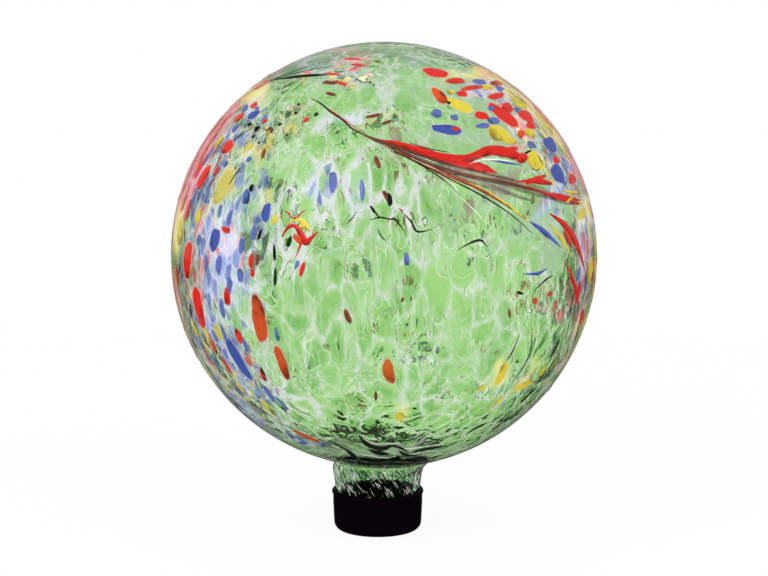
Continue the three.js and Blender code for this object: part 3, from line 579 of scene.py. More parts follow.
class Nodes:
    """A short way to add nodes to a tree and join them; a value may be a number or a socket."""

    def __init__(self, tree):
        self.tree = tree

    def add(self, kind, settings=None, **inputs):
        """A new node, with its settings and with values for its inputs by name."""
        node = self.tree.nodes.new(kind)
        for name, value in (settings or {}).items():
            setattr(node, name, value)
        for name, value in inputs.items():
            self.put(node.inputs[name.replace("_", " ")], value)
        return node

    def out(self, kind, settings=None, **inputs):
        """A new node's first output."""
        return self.add(kind, settings, **inputs).outputs[0]

    def put(self, socket, value):
        """Joins a socket to an input, or sets the input to a number."""
        if isinstance(value, bpy.types.NodeSocket):
            self.tree.links.new(value, socket)
        else:
            socket.default_value = value

    def filled(self, kind, settings, *values):
        """A new node's first output, with values put into its first inputs."""
        node = self.add(kind, settings)
        for socket, value in zip(node.inputs, values):
            self.put(socket, value)
        return node.outputs[0]

    def math(self, operation, first, second=0.0, clamp=False):
        return self.filled("ShaderNodeMath", {"operation": operation, "use_clamp": clamp}, first, second)

    def plus(self, first, second, clamp=False):
        return self.math("ADD", first, second, clamp)

    def minus(self, first, second):
        return self.math("SUBTRACT", first, second)

    def times(self, product, *others):
        """The product of two or more values."""
        for other in others:
            product = self.math("MULTIPLY", product, other)
        return product

    def larger(self, first, second):
        return self.math("MAXIMUM", first, second)

    def vector_math(self, operation, first, second):
        return self.filled("ShaderNodeVectorMath", {"operation": operation}, first, second)

    def ramp(self, value, low, high, to_low=0.0, to_high=1.0):
        """A smooth change from one number to another as a value goes from low to high."""
        return self.filled("ShaderNodeMapRange", {"interpolation_type": "SMOOTHSTEP"},
                           value, low, high, to_low, to_high)

    def crests(self, phase, low, high, most):
        """Thin lines along the tops of a wave of some phase."""
        return self.ramp(self.math("SINE", phase), low, high, 0.0, most)

    def mix(self, share, first, second):
        """A colour that goes from one to another as a share goes from 0 to 1."""
        node = self.add("ShaderNodeMix", {"data_type": "RGBA"})
        for index, value in zip(MIX_INPUTS, (share, colour_of(first), colour_of(second))):
            self.put(node.inputs[index], value)
        return node.outputs[MIX_OUTPUT]

    def noise(self, vector, scale, detail=2.0, roughness=0.5, output="Fac"):
        return self.add("ShaderNodeTexNoise", Vector=vector, Scale=scale, Detail=detail,
                        Roughness=roughness).outputs[output]

    def painted(self, name):
        """One of the numbers painted on the mesh."""
        return self.add("ShaderNodeAttribute", {"attribute_name": name}).outputs["Fac"]

    def painted_colour(self, name):
        """One of the colours painted on the mesh, and its fourth number."""
        outputs = self.add("ShaderNodeAttribute", {"attribute_name": name}).outputs
        return outputs["Color"], outputs["Alpha"]

    def object_place(self):
        return self.add("ShaderNodeTexCoord").outputs["Object"]

    def split(self, vector):
        return self.add("ShaderNodeSeparateXYZ", Vector=vector).outputs

    def shrunk(self, vector, share):
        """Coordinates shrunk in height, which draws what follows them out to that height."""
        return self.out("ShaderNodeMapping", Vector=vector, Scale=(1, 1, share))

    def length(self, vector):
        return self.add("ShaderNodeVectorMath", {"operation": "LENGTH"}, Vector=vector).outputs["Value"]

    def mixed_shaders(self, share, first, second):
        return self.filled("ShaderNodeMixShader", None, share, first, second)

    def warp(self, vector, scale, amount, detail=1.0):
        """Coordinates pushed about by a noise, by up to half an amount."""
        colour = self.noise(vector, scale, detail, output="Color")
        centred = self.vector_math("SUBTRACT", colour, (0.5, 0.5, 0.5))
        pushed = self.vector_math("MULTIPLY", centred, (amount, amount, amount))
        return self.vector_math("ADD", vector, pushed)


def colour_of(value):
    """A colour of three or four numbers as four, and a socket as it is."""
    if isinstance(value, bpy.types.NodeSocket):
        return value
    return (*value[:3], 1.0)


def new_material(name):
    """An empty node material and its node helper."""
    material = bpy.data.materials.new(name)
    material.use_nodes = True
    material.node_tree.nodes.clear()
    return material, Nodes(material.node_tree)


def globe_material(settings):
    """Crackled green glass: cells with pale gaps, dabs of colour, and streaks down the neck."""
    material, nodes = new_material("crackled_green_glass")
    place = nodes.object_place()
    x, y, height = nodes.split(place)
    drawn = drawn_out(nodes, x, y, height)
    calm, milk, outer = (nodes.painted(name) for name in ("calm", "milk", "outer"))
    haze, haze_share = nodes.painted_colour("haze")
    lively = nodes.minus(1.0, calm)
    swirled = drawn
    for scale, amount in CRACKLE_WARPS:
        swirled = nodes.warp(swirled, scale, amount, 2)
    fine = nodes.noise(swirled, 260, 3, 0.6)
    flame = nodes.noise(nodes.shrunk(swirled, 0.4), 330, 3, 0.6)
    edge, middle, (tone, *_) = cells(nodes, swirled, 1 / settings.cell_size, 0.25)
    edge_of_back = nodes.times(nodes.noise(drawn, 36, 3), 40 * MM)
    back = nodes.ramp(nodes.minus(y, edge_of_back), *BACK_FADE)

    # The body: greens that go deeper from cell to cell and towards a cell's heart
    broad = nodes.noise(drawn, 30, 2)
    depth = nodes.plus(nodes.times(tone, 0.5), nodes.ramp(broad, 0.35, 0.65, -0.1, 0.35))
    depth = nodes.plus(depth, nodes.ramp(fine, 0.35, 0.65, -0.2, 0.2))
    heart = nodes.times(nodes.ramp(middle, 0.50, 0.15), nodes.ramp(tone, 0.45, 0.8, 0.0, 0.5))
    depth = nodes.plus(depth, heart, clamp=True)
    body = nodes.mix(depth, settings.glass_green, settings.glass_deep)
    body = nodes.mix(nodes.times(calm, 0.85), body, settings.glass_calm)
    border = nodes.times(nodes.ramp(edge, 0.04, 0.22, 0.45, 0.0), lively)
    body = nodes.mix(border, body, settings.glass_light)

    # Milky gaps between the cells, veins along their borders and wisps
    ragged = nodes.ramp(flame, 0.3, 0.7, -0.5, 0.5)
    reach = nodes.plus(middle, nodes.times(milk, 0.10))
    reach = nodes.plus(reach, nodes.times(ragged, 0.22))
    milky = nodes.ramp(milk, 0.0, 0.5)
    gap = nodes.times(nodes.ramp(reach, 0.74, 0.86), nodes.ramp(milky, 0.0, 1.0, 0.5, 0.85))
    width = nodes.plus(nodes.times(milk, 0.13), nodes.times(ragged, 0.13))
    presence = nodes.larger(nodes.ramp(nodes.noise(swirled, 75, 2), 0.40, 0.60, 0.1, 0.9), milky)
    vein = nodes.ramp(nodes.minus(edge, width), 0.0, 0.05, 0.95, 0.0)
    gap = nodes.larger(gap, nodes.times(vein, presence))
    wisp = nodes.times(nodes.ramp(flame, 0.58, 0.70, 0.0, 0.75), nodes.ramp(broad, 0.48, 0.62))
    gap = nodes.larger(gap, wisp)
    body = nodes.mix(nodes.times(gap, lively), body, settings.glass_pale)

    # Soft patches, thin drawing and dabs of colour, all of them plainer at the back
    body = nodes.mix(haze_share, body, haze)
    body = nodes.mix(nodes.times(gap, haze_share, 0.6), body, settings.glass_pale)
    in_front = nodes.minus(1.0, back)
    drawing = nodes.times(lively, outer, nodes.minus(1.0, haze_share), in_front)
    body = contours(nodes, drawn, swirled, edge, drawing, body, settings)
    body = dabs(nodes, drawn, body)
    body = nodes.mix(nodes.times(back, 0.8), body, settings.glass_back)

    # The neck, and the painted shade round its root where the black cap shows through the glass
    neck = neck_share(nodes, height, settings)
    body = nodes.mix(neck, body, neck_streaks(nodes, place, height, settings))
    root_shade = painted_root_shade(nodes, place, settings)
    body = nodes.mix(root_shade, body, ROOT_SHADE_COLOUR)

    # The surface
    swell = nodes.plus(nodes.ramp(edge, 0.0, 0.3), nodes.times(fine, 0.3))
    swell = nodes.times(swell, lively, in_front)
    bump = nodes.out("ShaderNodeBump", Height=swell, Strength=0.3, Distance=0.5 * MM)
    # Painted reflections: the white streaks on the neck's outer skin are made partly opaque
    glint = nodes.times(neck, outer, neck_glints(nodes, place, height))
    clouded = nodes.times(haze_share, outer, 0.75)
    solid = nodes.larger(nodes.times(glint, 0.7), clouded)
    # The glass is made opaque under the painted reflections on the neck, the clouded haze and the painted
    # root shade
    clearness = nodes.minus(1.0, nodes.larger(solid, root_shade))
    glass = nodes.out("ShaderNodeBsdfPrincipled", Base_Color=body, Roughness=0.03, IOR=GLASS_IOR,
                      Transmission_Weight=clearness, Specular_Tint=(0.15, 0.15, 0.15, 1),
                      Specular_IOR_Level=0.1, Normal=bump)
    nodes.add("ShaderNodeOutputMaterial", Surface=glass)
    return material


def drawn_out(nodes, x, y, height):
    """Object coordinates squeezed in height, more so up the ball, so that cells come out tall."""
    level = nodes.minus(height, float(BALL_CENTRE[2]))
    squeezed = nodes.plus(nodes.times(level, 0.50), nodes.times(level, level, -1.0))
    return nodes.out("ShaderNodeCombineXYZ", X=x, Y=y, Z=squeezed)


def cells(nodes, place, scale, smoothness):
    """Random cells: how far a point is from its cell's border and middle, and three numbers of the cell."""
    edge = nodes.add("ShaderNodeTexVoronoi", {"feature": "DISTANCE_TO_EDGE"}, Vector=place, Scale=scale)
    cell = nodes.add("ShaderNodeTexVoronoi", {"feature": "SMOOTH_F1"}, Vector=place, Scale=scale,
                     Smoothness=smoothness).outputs
    lots = nodes.add("ShaderNodeSeparateColor", Color=cell["Color"]).outputs
    return edge.outputs["Distance"], cell["Distance"], lots


def contours(nodes, drawn, swirled, edge, share, body, settings):
    """Thin white lines that run along the cells in bundles, some with a dark line beside them."""
    phase = nodes.plus(nodes.times(edge, 20.0), nodes.times(nodes.noise(swirled, 66, 2), 34.0))
    place = nodes.times(nodes.ramp(nodes.noise(drawn, 52, 1), 0.42, 0.55), share)
    white = nodes.crests(phase, 0.84, 0.985, 0.9)
    body = nodes.mix(nodes.times(white, place), body, CONTOUR_WHITE)
    patchy = nodes.ramp(nodes.noise(drawn, 90, 1), 0.3, 0.7, -0.5, 0.3)
    ink = nodes.ramp(nodes.plus(nodes.painted("ink"), patchy), 0.15, 0.5)
    dark = nodes.crests(nodes.plus(phase, -0.8), 0.90, 0.99, 0.95)
    body = nodes.mix(nodes.times(dark, ink, share), body, settings.glass_dark)
    strand = nodes.times(nodes.noise(nodes.shrunk(swirled, 0.35), 110, 2), 30.0)
    some = nodes.times(nodes.ramp(nodes.noise(drawn, 64, 1), 0.46, 0.60), share)
    thin = nodes.crests(strand, 0.88, 0.985, 0.8)
    body = nodes.mix(nodes.times(thin, some), body, STRAND_WHITE)
    beside = nodes.crests(nodes.plus(strand, -0.9), 0.90, 0.99, 0.9)
    inked = nodes.times(some, nodes.ramp(ink, 0.0, 1.0, 0.35, 1.0), beside)
    return nodes.mix(inked, body, STRAND_DARK)


def dabs(nodes, place, body):
    """Small tall dabs of colour over the body colour, as dense as the painted attribute says."""
    wavy = nodes.warp(place, 90, 4 * MM, 1)
    amounts, dark = nodes.painted_colour("dabs")
    blue, pink, cream = nodes.add("ShaderNodeSeparateColor", Color=amounts).outputs
    edge, _, (lot, tone, _) = cells(nodes, wavy, DABS_A_METRE, 0.3)
    total = nodes.plus(blue, nodes.plus(pink, cream), clamp=True)
    gap = nodes.times(nodes.ramp(edge, 0.03, 0.16, 1.0, 0.0), total)
    body = nodes.mix(nodes.times(total, 0.5), body, DAB_GROUND)
    start = 0.0
    for pair, amount in zip(DAB_COLOURS.values(), (blue, pink, cream, dark)):
        end = nodes.plus(start, amount)
        from_start = nodes.ramp(nodes.minus(lot, start), -0.03, 0.03)
        to_end = nodes.ramp(nodes.minus(end, lot), -0.03, 0.03)
        inside = nodes.times(from_start, to_end, nodes.ramp(amount, 0.0, 0.08), 0.95)
        body = nodes.mix(inside, body, nodes.mix(tone, *pair))
        start = end
    return nodes.mix(nodes.times(gap, 0.75), body, DAB_GAP)


def neck_share(nodes, height, settings):
    """1 on the neck and 0 on the ball."""
    top = NECK_END_Z + settings.neck_length
    return nodes.ramp(height, top, top + settings.shoulder_radius, 1.0, 0.0)


def down_the_neck(nodes, place, height, scale):
    """A noise that hardly changes along lines that twist down the neck."""
    turned = nodes.out("ShaderNodeVectorRotate", {"rotation_type": "Z_AXIS"}, Vector=place,
                       Angle=nodes.times(height, NECK_TWIST))
    return nodes.noise(nodes.shrunk(turned, 0.05), scale, 2)


def neck_streaks(nodes, place, height, settings):
    """Thin streaks of green, white and near black that twist down the neck; the white ones are painted
    reflections.
    """
    broad = down_the_neck(nodes, place, height, BROAD_STREAKS)
    thin = down_the_neck(nodes, place, height, THIN_STREAKS)
    body = nodes.mix(nodes.ramp(broad, 0.4, 0.6), *STREAK_GREENS)
    top = NECK_END_Z + settings.neck_length
    mottled = nodes.ramp(nodes.noise(place, 260, 2), 0.35, 0.6, 0.35, 1.0)
    light = nodes.times(nodes.ramp(height, top - 9 * MM, top - 4 * MM), mottled)
    body = nodes.mix(light, body, NECK_TOP)
    # Painted reflections: thin white streaks down the neck
    body = nodes.mix(nodes.ramp(thin, 0.54, 0.58), body, STREAK_REFLECTION_WHITE)
    return nodes.mix(nodes.ramp(thin, 0.46, 0.41), body, STREAK_DARK)


def neck_glints(nodes, place, height):
    """Painted reflections: where the white streaks down the neck are made opaque enough to show over the
    black cap seen through the glass.
    """
    thin = down_the_neck(nodes, place, height, THIN_STREAKS)
    broken = nodes.ramp(nodes.noise(place, 160, 1), 0.42, 0.6)
    return nodes.times(nodes.ramp(thin, 0.575, 0.62), broken)


def painted_root_shade(nodes, place, settings):
    """Painted shade: a dark wavy band round the root of the neck, wider at the front, standing in for the
    black cap seen through the glass.
    """
    x, y, z = nodes.split(place)
    radius = nodes.length(nodes.out("ShaderNodeCombineXYZ", X=x, Y=y))
    wave = nodes.times(nodes.minus(nodes.noise(place, 60, 2), 0.5), ROOT_SHADE_WAVE)
    aside = nodes.math("ABSOLUTE", nodes.minus(x, float(BALL_CENTRE[0])))
    tongue = nodes.times(nodes.ramp(y, -48 * MM, -36 * MM, ROOT_SHADE_TONGUE, 0.0),
                         nodes.ramp(aside, 20 * MM, 34 * MM, 1.0, 0.0))
    limit = nodes.plus(tongue, ROOT_SHADE_RADIUS)
    inside = nodes.ramp(nodes.minus(nodes.plus(radius, wave), limit), -1 * MM, 1.5 * MM, 1.0, 0.0)
    root = NECK_END_Z + settings.neck_length + 0.7 * settings.shoulder_radius + 1.2 * MM
    above = nodes.ramp(nodes.plus(z, nodes.times(wave, 0.06)), root, root + MM)
    low = nodes.ramp(z, ROOT_SHADE_TOP, ROOT_SHADE_TOP + 2 * MM, 1.0, 0.0)
    return nodes.times(inside, above, low)


def frit_material(name, kind, colour):
    """Glossy coloured glass, darker towards one side, with a thin pale rim that melts into the globe."""
    full_name = name + "_" + kind
    clearness, softness = FRIT_GLASS.get(full_name, FRIT_GLASS[kind])
    material, nodes = new_material(full_name + "_frit_glass")
    place = nodes.object_place()
    rim, side, tone = (nodes.painted(n) for n in ("melt", "side", "tone"))
    cloud = nodes.noise(place, 160, 3)
    grain = nodes.noise(place, 900, 2)
    dark = [c * 0.30 for c in colour]
    light = [min(1.0, c * 1.15 + 0.03) for c in colour]
    warm = [colour[0], min(1.0, colour[1] + 0.10), colour[2]]
    body = nodes.mix(nodes.ramp(tone, 0.2, 1.0, 0.0, 0.8), colour, warm)
    body = nodes.mix(nodes.ramp(grain, 0.5, 0.8, 0.0, 0.6), body, light)
    shade = nodes.plus(side, nodes.ramp(cloud, 0.3, 0.7, -0.5, 0.5))
    shade = nodes.plus(shade, nodes.times(tone, 0.5))
    body = nodes.mix(nodes.ramp(shade, 0.1, 1.3, 0.0, 0.9), body, dark)
    ragged = nodes.plus(rim, nodes.ramp(cloud, 0.3, 0.7, -0.04, 0.04))
    pale = nodes.ramp(ragged, 0.05, 0.17 + softness * 0.3, 0.9, 0.0)
    body = nodes.mix(pale, body, FRIT_RIM)
    solid = nodes.out("ShaderNodeBsdfPrincipled", Base_Color=body, Roughness=0.1,
                      IOR=DARK_IOR if name == "dark" else GLASS_IOR,
                      Transmission_Weight=clearness, Specular_IOR_Level=0.15)
    inward = nodes.ramp(ragged, 0.0, 0.05 + softness)
    melted = nodes.mixed_shaders(inward, nodes.out("ShaderNodeBsdfTransparent"), solid)
    nodes.add("ShaderNodeOutputMaterial", Surface=melted)
    return material


def rubber_material(settings):
    """Black moulded rubber, satin, with a faint grain and patches of dust."""
    material, nodes = new_material("black_moulded_rubber")
    place = nodes.object_place()
    cloud = nodes.noise(place, 60, 4)
    grain = nodes.noise(place, 1600, 3)
    dusty = [c * 1.8 + 0.0003 for c in settings.rubber]
    body = nodes.mix(nodes.ramp(cloud, 0.5, 0.8, 0.0, 0.5), settings.rubber, dusty)
    shine = nodes.ramp(cloud, 0.3, 0.7, 0.40, 0.55)
    bump = nodes.out("ShaderNodeBump", Height=grain, Strength=0.1, Distance=0.05 * MM)
    rubber = nodes.out("ShaderNodeBsdfPrincipled", Base_Color=body, Roughness=shine, IOR=1.45,
                       Specular_IOR_Level=0.02, Normal=bump)
    nodes.add("ShaderNodeOutputMaterial", Surface=rubber)
    return material


def wall_line(settings, neck_depth, ball_depth, rows):
    """One side of the globe's wall, from the neck's end to the top of the ball, as radius and height."""
    centre_z = BALL_CENTRE[2]
    shoulder_r = settings.neck_top_radius + settings.shoulder_radius
    shoulder_z = NECK_END_Z + settings.neck_length
    reach = BALL_RADIUS + settings.shoulder_radius
    start_angle = math.radians(FLARE_ANGLE)
    end_angle = math.atan2(centre_z - shoulder_z, shoulder_r)
    flare_r = shoulder_r - settings.shoulder_radius * math.cos(start_angle)
    flare_z = shoulder_z + settings.shoulder_radius * math.sin(start_angle)
    lip_z = NECK_END_Z + settings.neck_wall / 2
    neck_rows, shoulder_rows, ball_rows = rows
    points = []
    for i in range(neck_rows):
        z = lip_z + (flare_z - lip_z) * i / neck_rows
        share = (z - NECK_END_Z) / (flare_z - NECK_END_Z)
        radius = settings.neck_end_radius + (flare_r - settings.neck_end_radius) * share ** 3
        points.append((radius - neck_depth, z))
    for i in range(shoulder_rows):
        share = i / shoulder_rows
        angle = start_angle + (end_angle - start_angle) * share
        radius = settings.shoulder_radius + neck_depth + (ball_depth - neck_depth) * share
        points.append((shoulder_r - radius * math.cos(angle), shoulder_z + radius * math.sin(angle)))
    ball_start = math.asin(shoulder_r / reach)
    radius = BALL_RADIUS - ball_depth
    for i in range(ball_rows):
        angle = ball_start + (math.pi - ball_start) * i / ball_rows
        points.append((radius * math.sin(angle), centre_z - radius * math.cos(angle)))
    points.append((0.0, centre_z + radius))
    return np.array(points)


def even_angles(segments):
    """Angles all round, in order and equally far apart."""
    return np.arange(segments) * 2 * math.pi / segments


def front_angles(segments):
    """Angles about Z, in order, that lie closer together towards the front, which is angle 0."""
    even = even_angles(segments)
    return even - 0.45 * np.sin(even)


def around(count):
    """Each place in a ring of some count, with the place after it."""
    return [(i, (i + 1) % count) for i in range(count)]


def turned(points, angles, closed=False):
    """Vertices and faces of a profile turned about Z.

    The profile's last point lies on the axis, and where it is closed its first point does too.
    """
    points = np.array(points)
    segments = len(angles)
    rings = points[1:-1] if closed else points[:-1]
    x = rings[:, :1] * np.sin(angles)
    y = -rings[:, :1] * np.cos(angles)
    z = np.repeat(rings[:, 1:], segments, axis=1)
    verts = np.stack([x, y, z], axis=2).reshape(-1, 3)
    top = (len(rings) - 1) * segments
    pole = len(verts)
    verts = np.vstack([verts, [[0, 0, points[-1, 1]]]])
    faces = []
    for low in range(0, top, segments):
        high = low + segments
        faces += [(low + i, low + after, high + after, high + i) for i, after in around(segments)]
    faces += [(top + i, top + after, pole) for i, after in around(segments)]
    if closed:
        verts = np.vstack([verts, [[0, 0, points[0, 1]]]])
        faces += [(pole + 1, after, i) for i, after in around(segments)]
    return verts, faces


def arc(radius_at, height_at, radius, start, end, steps):
    """Points of radius and height round an arc between two angles in degrees."""
    angles = [math.radians(start + (end - start) * k / steps) for k in range(steps + 1)]
    return [(radius_at + radius * math.cos(a), height_at + radius * math.sin(a)) for a in angles]


def lean_to_ball(verts, settings):
    """Moves what lies above the neck across to the ball's middle."""
    shoulder_z = NECK_END_Z + settings.neck_length
    reach = BALL_RADIUS + settings.shoulder_radius
    top = BALL_CENTRE[2] - (BALL_CENTRE[2] - shoulder_z) * BALL_RADIUS / reach
    share = np.clip((verts[:, 2] - top + settings.lean_length) / settings.lean_length, 0, 1)
    verts[:, 0] += BALL_CENTRE[0] * share * share * (3 - 2 * share)


def cell_heights(verts, size, seed):
    """A value from 0 to 1 at each vertex that rises from the borders of random cells to their middles."""
    rng = np.random.default_rng(seed)
    count = int(4 * math.pi * BALL_RADIUS ** 2 / size ** 2)
    heights = rng.uniform(-1, 1, count)
    around = rng.uniform(0, 2 * math.pi, count)
    flat = np.sqrt(1 - heights ** 2)
    seeds = np.stack([flat * np.cos(around), flat * np.sin(around), heights], axis=1)
    directions = unit(verts - BALL_CENTRE)
    values = np.zeros(len(verts))
    at_once = 4000
    for start in range(0, len(verts), at_once):
        block = directions[start:start + at_once]
        near = np.partition(-block @ seeds.T, 1, axis=1)[:, :2]
        angles = np.arccos(np.clip(-near, -1, 1))
        values[start:start + at_once] = (angles[:, 1] - angles[:, 0]) * BALL_RADIUS / size
    return np.clip(values * 1.4, 0, 1)


def out_direction(longitude, latitude):
    """The outward direction on the ball at a longitude and latitude."""
    lon, lat = math.radians(longitude), math.radians(latitude)
    return np.array([math.cos(lat) * math.sin(lon), -math.cos(lat) * math.cos(lon), math.sin(lat)])


def frame_at(out):
    """The rightward and upward directions on the ball at an outward one."""
    right = np.cross(np.array([0.0, 0.0, 1.0]), out)
    right /= max(np.linalg.norm(right), 1e-9)
    return right, np.cross(out, right)


def unit(vectors):
    """Rows of vectors made one long."""
    return vectors / np.linalg.norm(vectors, axis=1)[:, None]


def leaning_axes(out, lean):
    """The directions across and along an oval on the ball that leans by an angle in degrees."""
    right, up = frame_at(out)
    tilt = math.radians(lean)
    across = right * math.cos(tilt) - up * math.sin(tilt)
    return across, up * math.cos(tilt) + right * math.sin(tilt)


def patch_share(directions, row):
    """How much of a soft oval patch lies at each direction, from 0 outside it to 1 in its middle."""
    longitude, latitude, width, height, lean, strength = row
    out = out_direction(longitude, latitude)
    across, along = leaning_axes(out, lean)
    x = np.degrees(directions @ across) / (width / 2)
    y = np.degrees(directions @ along) / (height / 2)
    reach = np.clip(1.15 - np.sqrt(x * x + y * y) * 0.85, 0, 1)
    facing = (directions @ out) > 0.5  # the far side of the ball has no share
    return strength * facing * reach * reach * (3 - 2 * reach)


def ripple(directions, seed, sharpness):
    """A cheap smooth noise on the sphere, about -1 to 1, from a few turned waves."""
    rng = np.random.default_rng(seed)
    total = np.zeros(len(directions))
    for _ in range(7):
        axis = rng.normal(size=3)
        axis /= np.linalg.norm(axis)
        total += np.sin(directions @ axis * sharpness * rng.uniform(0.6, 1.6) + rng.uniform(0, 6.3))
    return total / 3.2


def paint(mesh, verts):
    """Stores the painted attributes: haze, dabs, calm, milk and ink."""
    directions = unit(verts - BALL_CENTRE)
    waves = np.stack([ripple(directions, SEED + i, EDGE_WAVES) for i in range(3)], axis=1)
    warped = unit(directions + EDGE_WAVE * waves)
    total = np.zeros(len(verts))
    blend = np.zeros((len(verts), 3))
    for name, rows in HAZE_ROWS.items():
        for row in rows:
            share = patch_share(warped, row)
            blend += share[:, None] * np.array(HAZE_COLOURS[name])
            total += share
    colour = blend / np.maximum(total, 1e-6)[:, None]
    store(mesh, "haze", np.concatenate([colour, np.clip(total, 0, 0.92)[:, None]], axis=1))
    inner = 1 - painted(warped, EDGE_ROWS)
    amounts = [painted(warped, DAB_ROWS[name]) * inner for name in DAB_COLOURS]
    store(mesh, "dabs", np.stack(amounts, axis=1))
    store(mesh, "calm", painted(warped, CALM_ROWS))
    store(mesh, "milk", painted(warped, MILK_ROWS))
    store(mesh, "ink", painted(warped, INK_ROWS))


def painted(directions, rows):
    """The strongest of several soft patches at each direction."""
    amount = np.zeros(len(directions))
    for row in rows:
        amount = np.maximum(amount, patch_share(directions, row))
    return np.minimum(amount, 1.0)


def store(mesh, name, values):
    """Keeps values at the mesh's vertices: one number each, or a colour of four."""
    kind, field = ("FLOAT", "value") if values.ndim == 1 else ("FLOAT_COLOR", "color")
    attribute = mesh.attributes.new(name, kind, "POINT")
    attribute.data.foreach_set(field, values.astype(np.float32).ravel())


def new_piece(name, verts, faces, material, smooth=True):
    """A mesh object at the origin with one material."""
    mesh = bpy.data.meshes.new(name)
    mesh.from_pydata([tuple(v) for v in verts], [], [tuple(f) for f in faces])
    mesh.materials.append(material)
    if smooth:
        mesh.shade_smooth()
    piece = bpy.data.objects.new(name, mesh)
    bpy.context.scene.collection.objects.link(piece)
    return piece


def oval_lens(row, settings, seed, points):
    """One chip of frit as a thin lens in the ball's skin, with its vertices' paint.

    The paint is how far in from the rim a vertex is, how far it lies towards the chip's dark side,
    and the chip's own tone.
    """
    longitude, latitude, width, height, lean = row
    out = out_direction(longitude, latitude)
    across, along = leaning_axes(out, lean)
    rng = np.random.default_rng(seed)
    phases = rng.uniform(0, 2 * math.pi, 4)
    tone = rng.uniform(-1, 1)
    angles = even_angles(points)
    wave = 1.03 + 0.05 * np.cos(2 * angles + phases[0]) + 0.06 * np.cos(3 * angles + phases[1])
    wave += 0.025 * np.cos(5 * angles + phases[2]) + 0.012 * np.cos(7 * angles + phases[3])
    round_x = np.sign(np.cos(angles)) * np.abs(np.cos(angles)) ** 0.85 * wave
    round_y = np.sign(np.sin(angles)) * np.abs(np.sin(angles)) ** 0.85 * wave
    toward = round_x * math.cos(phases[0]) + round_y * math.sin(phases[0])
    verts, paint_rows = [], []
    for side in (1, -1):
        for share in LENS_RINGS:
            x = np.radians(width / 2) * share * round_x
            y = np.radians(height / 2) * share * round_y
            directions = unit(out + x[:, None] * across + y[:, None] * along)
            lift = lens_lift(settings, side, math.sqrt(1 - share * share))
            verts.extend(BALL_CENTRE + directions * (BALL_RADIUS + lift))
            paint_rows.extend((1 - share, share * t, tone) for t in toward)
        verts.append(BALL_CENTRE + out * (BALL_RADIUS + lens_lift(settings, side, 1)))
        paint_rows.append((1.0, 0.0, tone))
    faces = []
    rings = len(LENS_RINGS)
    block = rings * points + 1
    for base in (0, block):
        turn = 1 if base == 0 else -1
        for i, after in around(points):
            for ring in range(base, base + (rings - 1) * points, points):
                quad = (ring + i, ring + after, ring + points + after, ring + points + i)
                faces.append(quad[::turn])
            last = base + (rings - 1) * points
            faces.append((last + i, last + after, base + block - 1)[::turn])
    faces += [(block + i, block + after, after, i) for i, after in around(points)]
    return np.array(verts), faces, paint_rows


def lens_lift(settings, side, swell):
    """How far a lens's face lies above the skin: 1 for its outer side and -1 for its inner one."""
    if side > 0:
        return -SUNK + swell * (settings.crown + SUNK)
    return -SUNK - RIM_HEIGHT - swell * settings.depth


def joined(parts):
    """Several pieces of vertices, faces and paint as one."""
    verts, faces, paint_rows, base = [], [], [], 0
    for part_verts, part_faces, part_paint in parts:
        verts.append(part_verts)
        faces += [tuple(i + base for i in face) for face in part_faces]
        paint_rows += list(part_paint)
        base += len(part_verts)
    return np.vstack(verts), faces, paint_rows


def lightened(colour, share, toward=(1.0, 1.0, 1.0)):
    """A colour mixed some way towards a paler one."""
    return [c + (pale - c) * share for c, pale in zip(colour, toward)]


def grown(row, growth):
    """A chip's row with its width and height made larger."""
    return (*row[:2], row[2] * growth, row[3] * growth, row[4])


def upper_right(row):
    """Whether a chip lies in the dense spray of large frit at the upper right."""
    return row[0] > 15 and row[1] > 25


def under_swirl(colour, row):
    """Whether a chip is the red one that lies under the swirl at the middle left."""
    return colour == "red" and abs(row[0] + 22.5) < 3 and abs(row[1] - 12) < 3


def dull(colour, row):
    """Whether a chip is one of the muted ones: red and low on the front, or yellow and at the left."""
    low = colour == "red" and -45 < row[0] < 20 and row[1] < 0
    left = colour == "yellow" and -60 < row[0] < -40
    return low or left or under_swirl(colour, row)


def melted_piece(name, parts, material):
    """A piece made of lens or ribbon parts, with their paint as attributes."""
    verts, faces, paint_rows = joined(parts)
    piece = new_piece(name, verts, faces, material)
    for attribute, values in zip(("melt", "side", "tone"), np.array(paint_rows).T):
        store(piece.data, attribute, values)
    return piece


def chip_row(node):
    """The place and size of a CAD chip, as longitude, latitude, width, height and lean in degrees."""
    co = unit(np.array([v.co for v in node.data.vertices]) - BALL_CENTRE)
    out = co.mean(axis=0)
    out /= np.linalg.norm(out)
    right, up = frame_at(out)
    flat = np.stack([co @ right, co @ up], axis=1)
    angles = np.radians(np.arange(0, 180, 3))
    reach = [np.ptp(flat @ np.array([math.sin(a), math.cos(a)])) for a in angles]
    lean = float(angles[int(np.argmax(reach))])
    side = np.ptp(flat @ np.array([math.cos(lean), -math.sin(lean)]))
    latitude = math.degrees(math.asin(out[2]))
    longitude = math.degrees(math.atan2(out[0], -out[1]))
    return longitude, latitude, math.degrees(side), math.degrees(max(reach)), math.degrees(lean)


def smooth_run(rows, steps):
    """Points along a thread: outward directions, side directions and half widths in radians."""
    keys = np.array([[*out_direction(lon, lat), math.radians(width / 2)] for lon, lat, width in rows])
    keys = np.vstack([2 * keys[0] - keys[1], keys, 2 * keys[-1] - keys[-2]])
    points = []
    for step in range(steps + 1):
        at = step / steps * (len(rows) - 1)
        row = min(int(at), len(rows) - 2)
        t = at - row
        a, b, c, d = keys[row:row + 4]
        points.append(0.5 * (2 * b + (c - a) * t + (2 * a - 5 * b + 4 * c - d) * t * t
                             + (3 * b - a - 3 * c + d) * t ** 3))
    points = np.array(points)
    out = unit(points[:, :3])
    side = unit(np.cross(out, np.gradient(out, axis=0)))
    return out, side, np.maximum(points[:, 3], THINNEST)


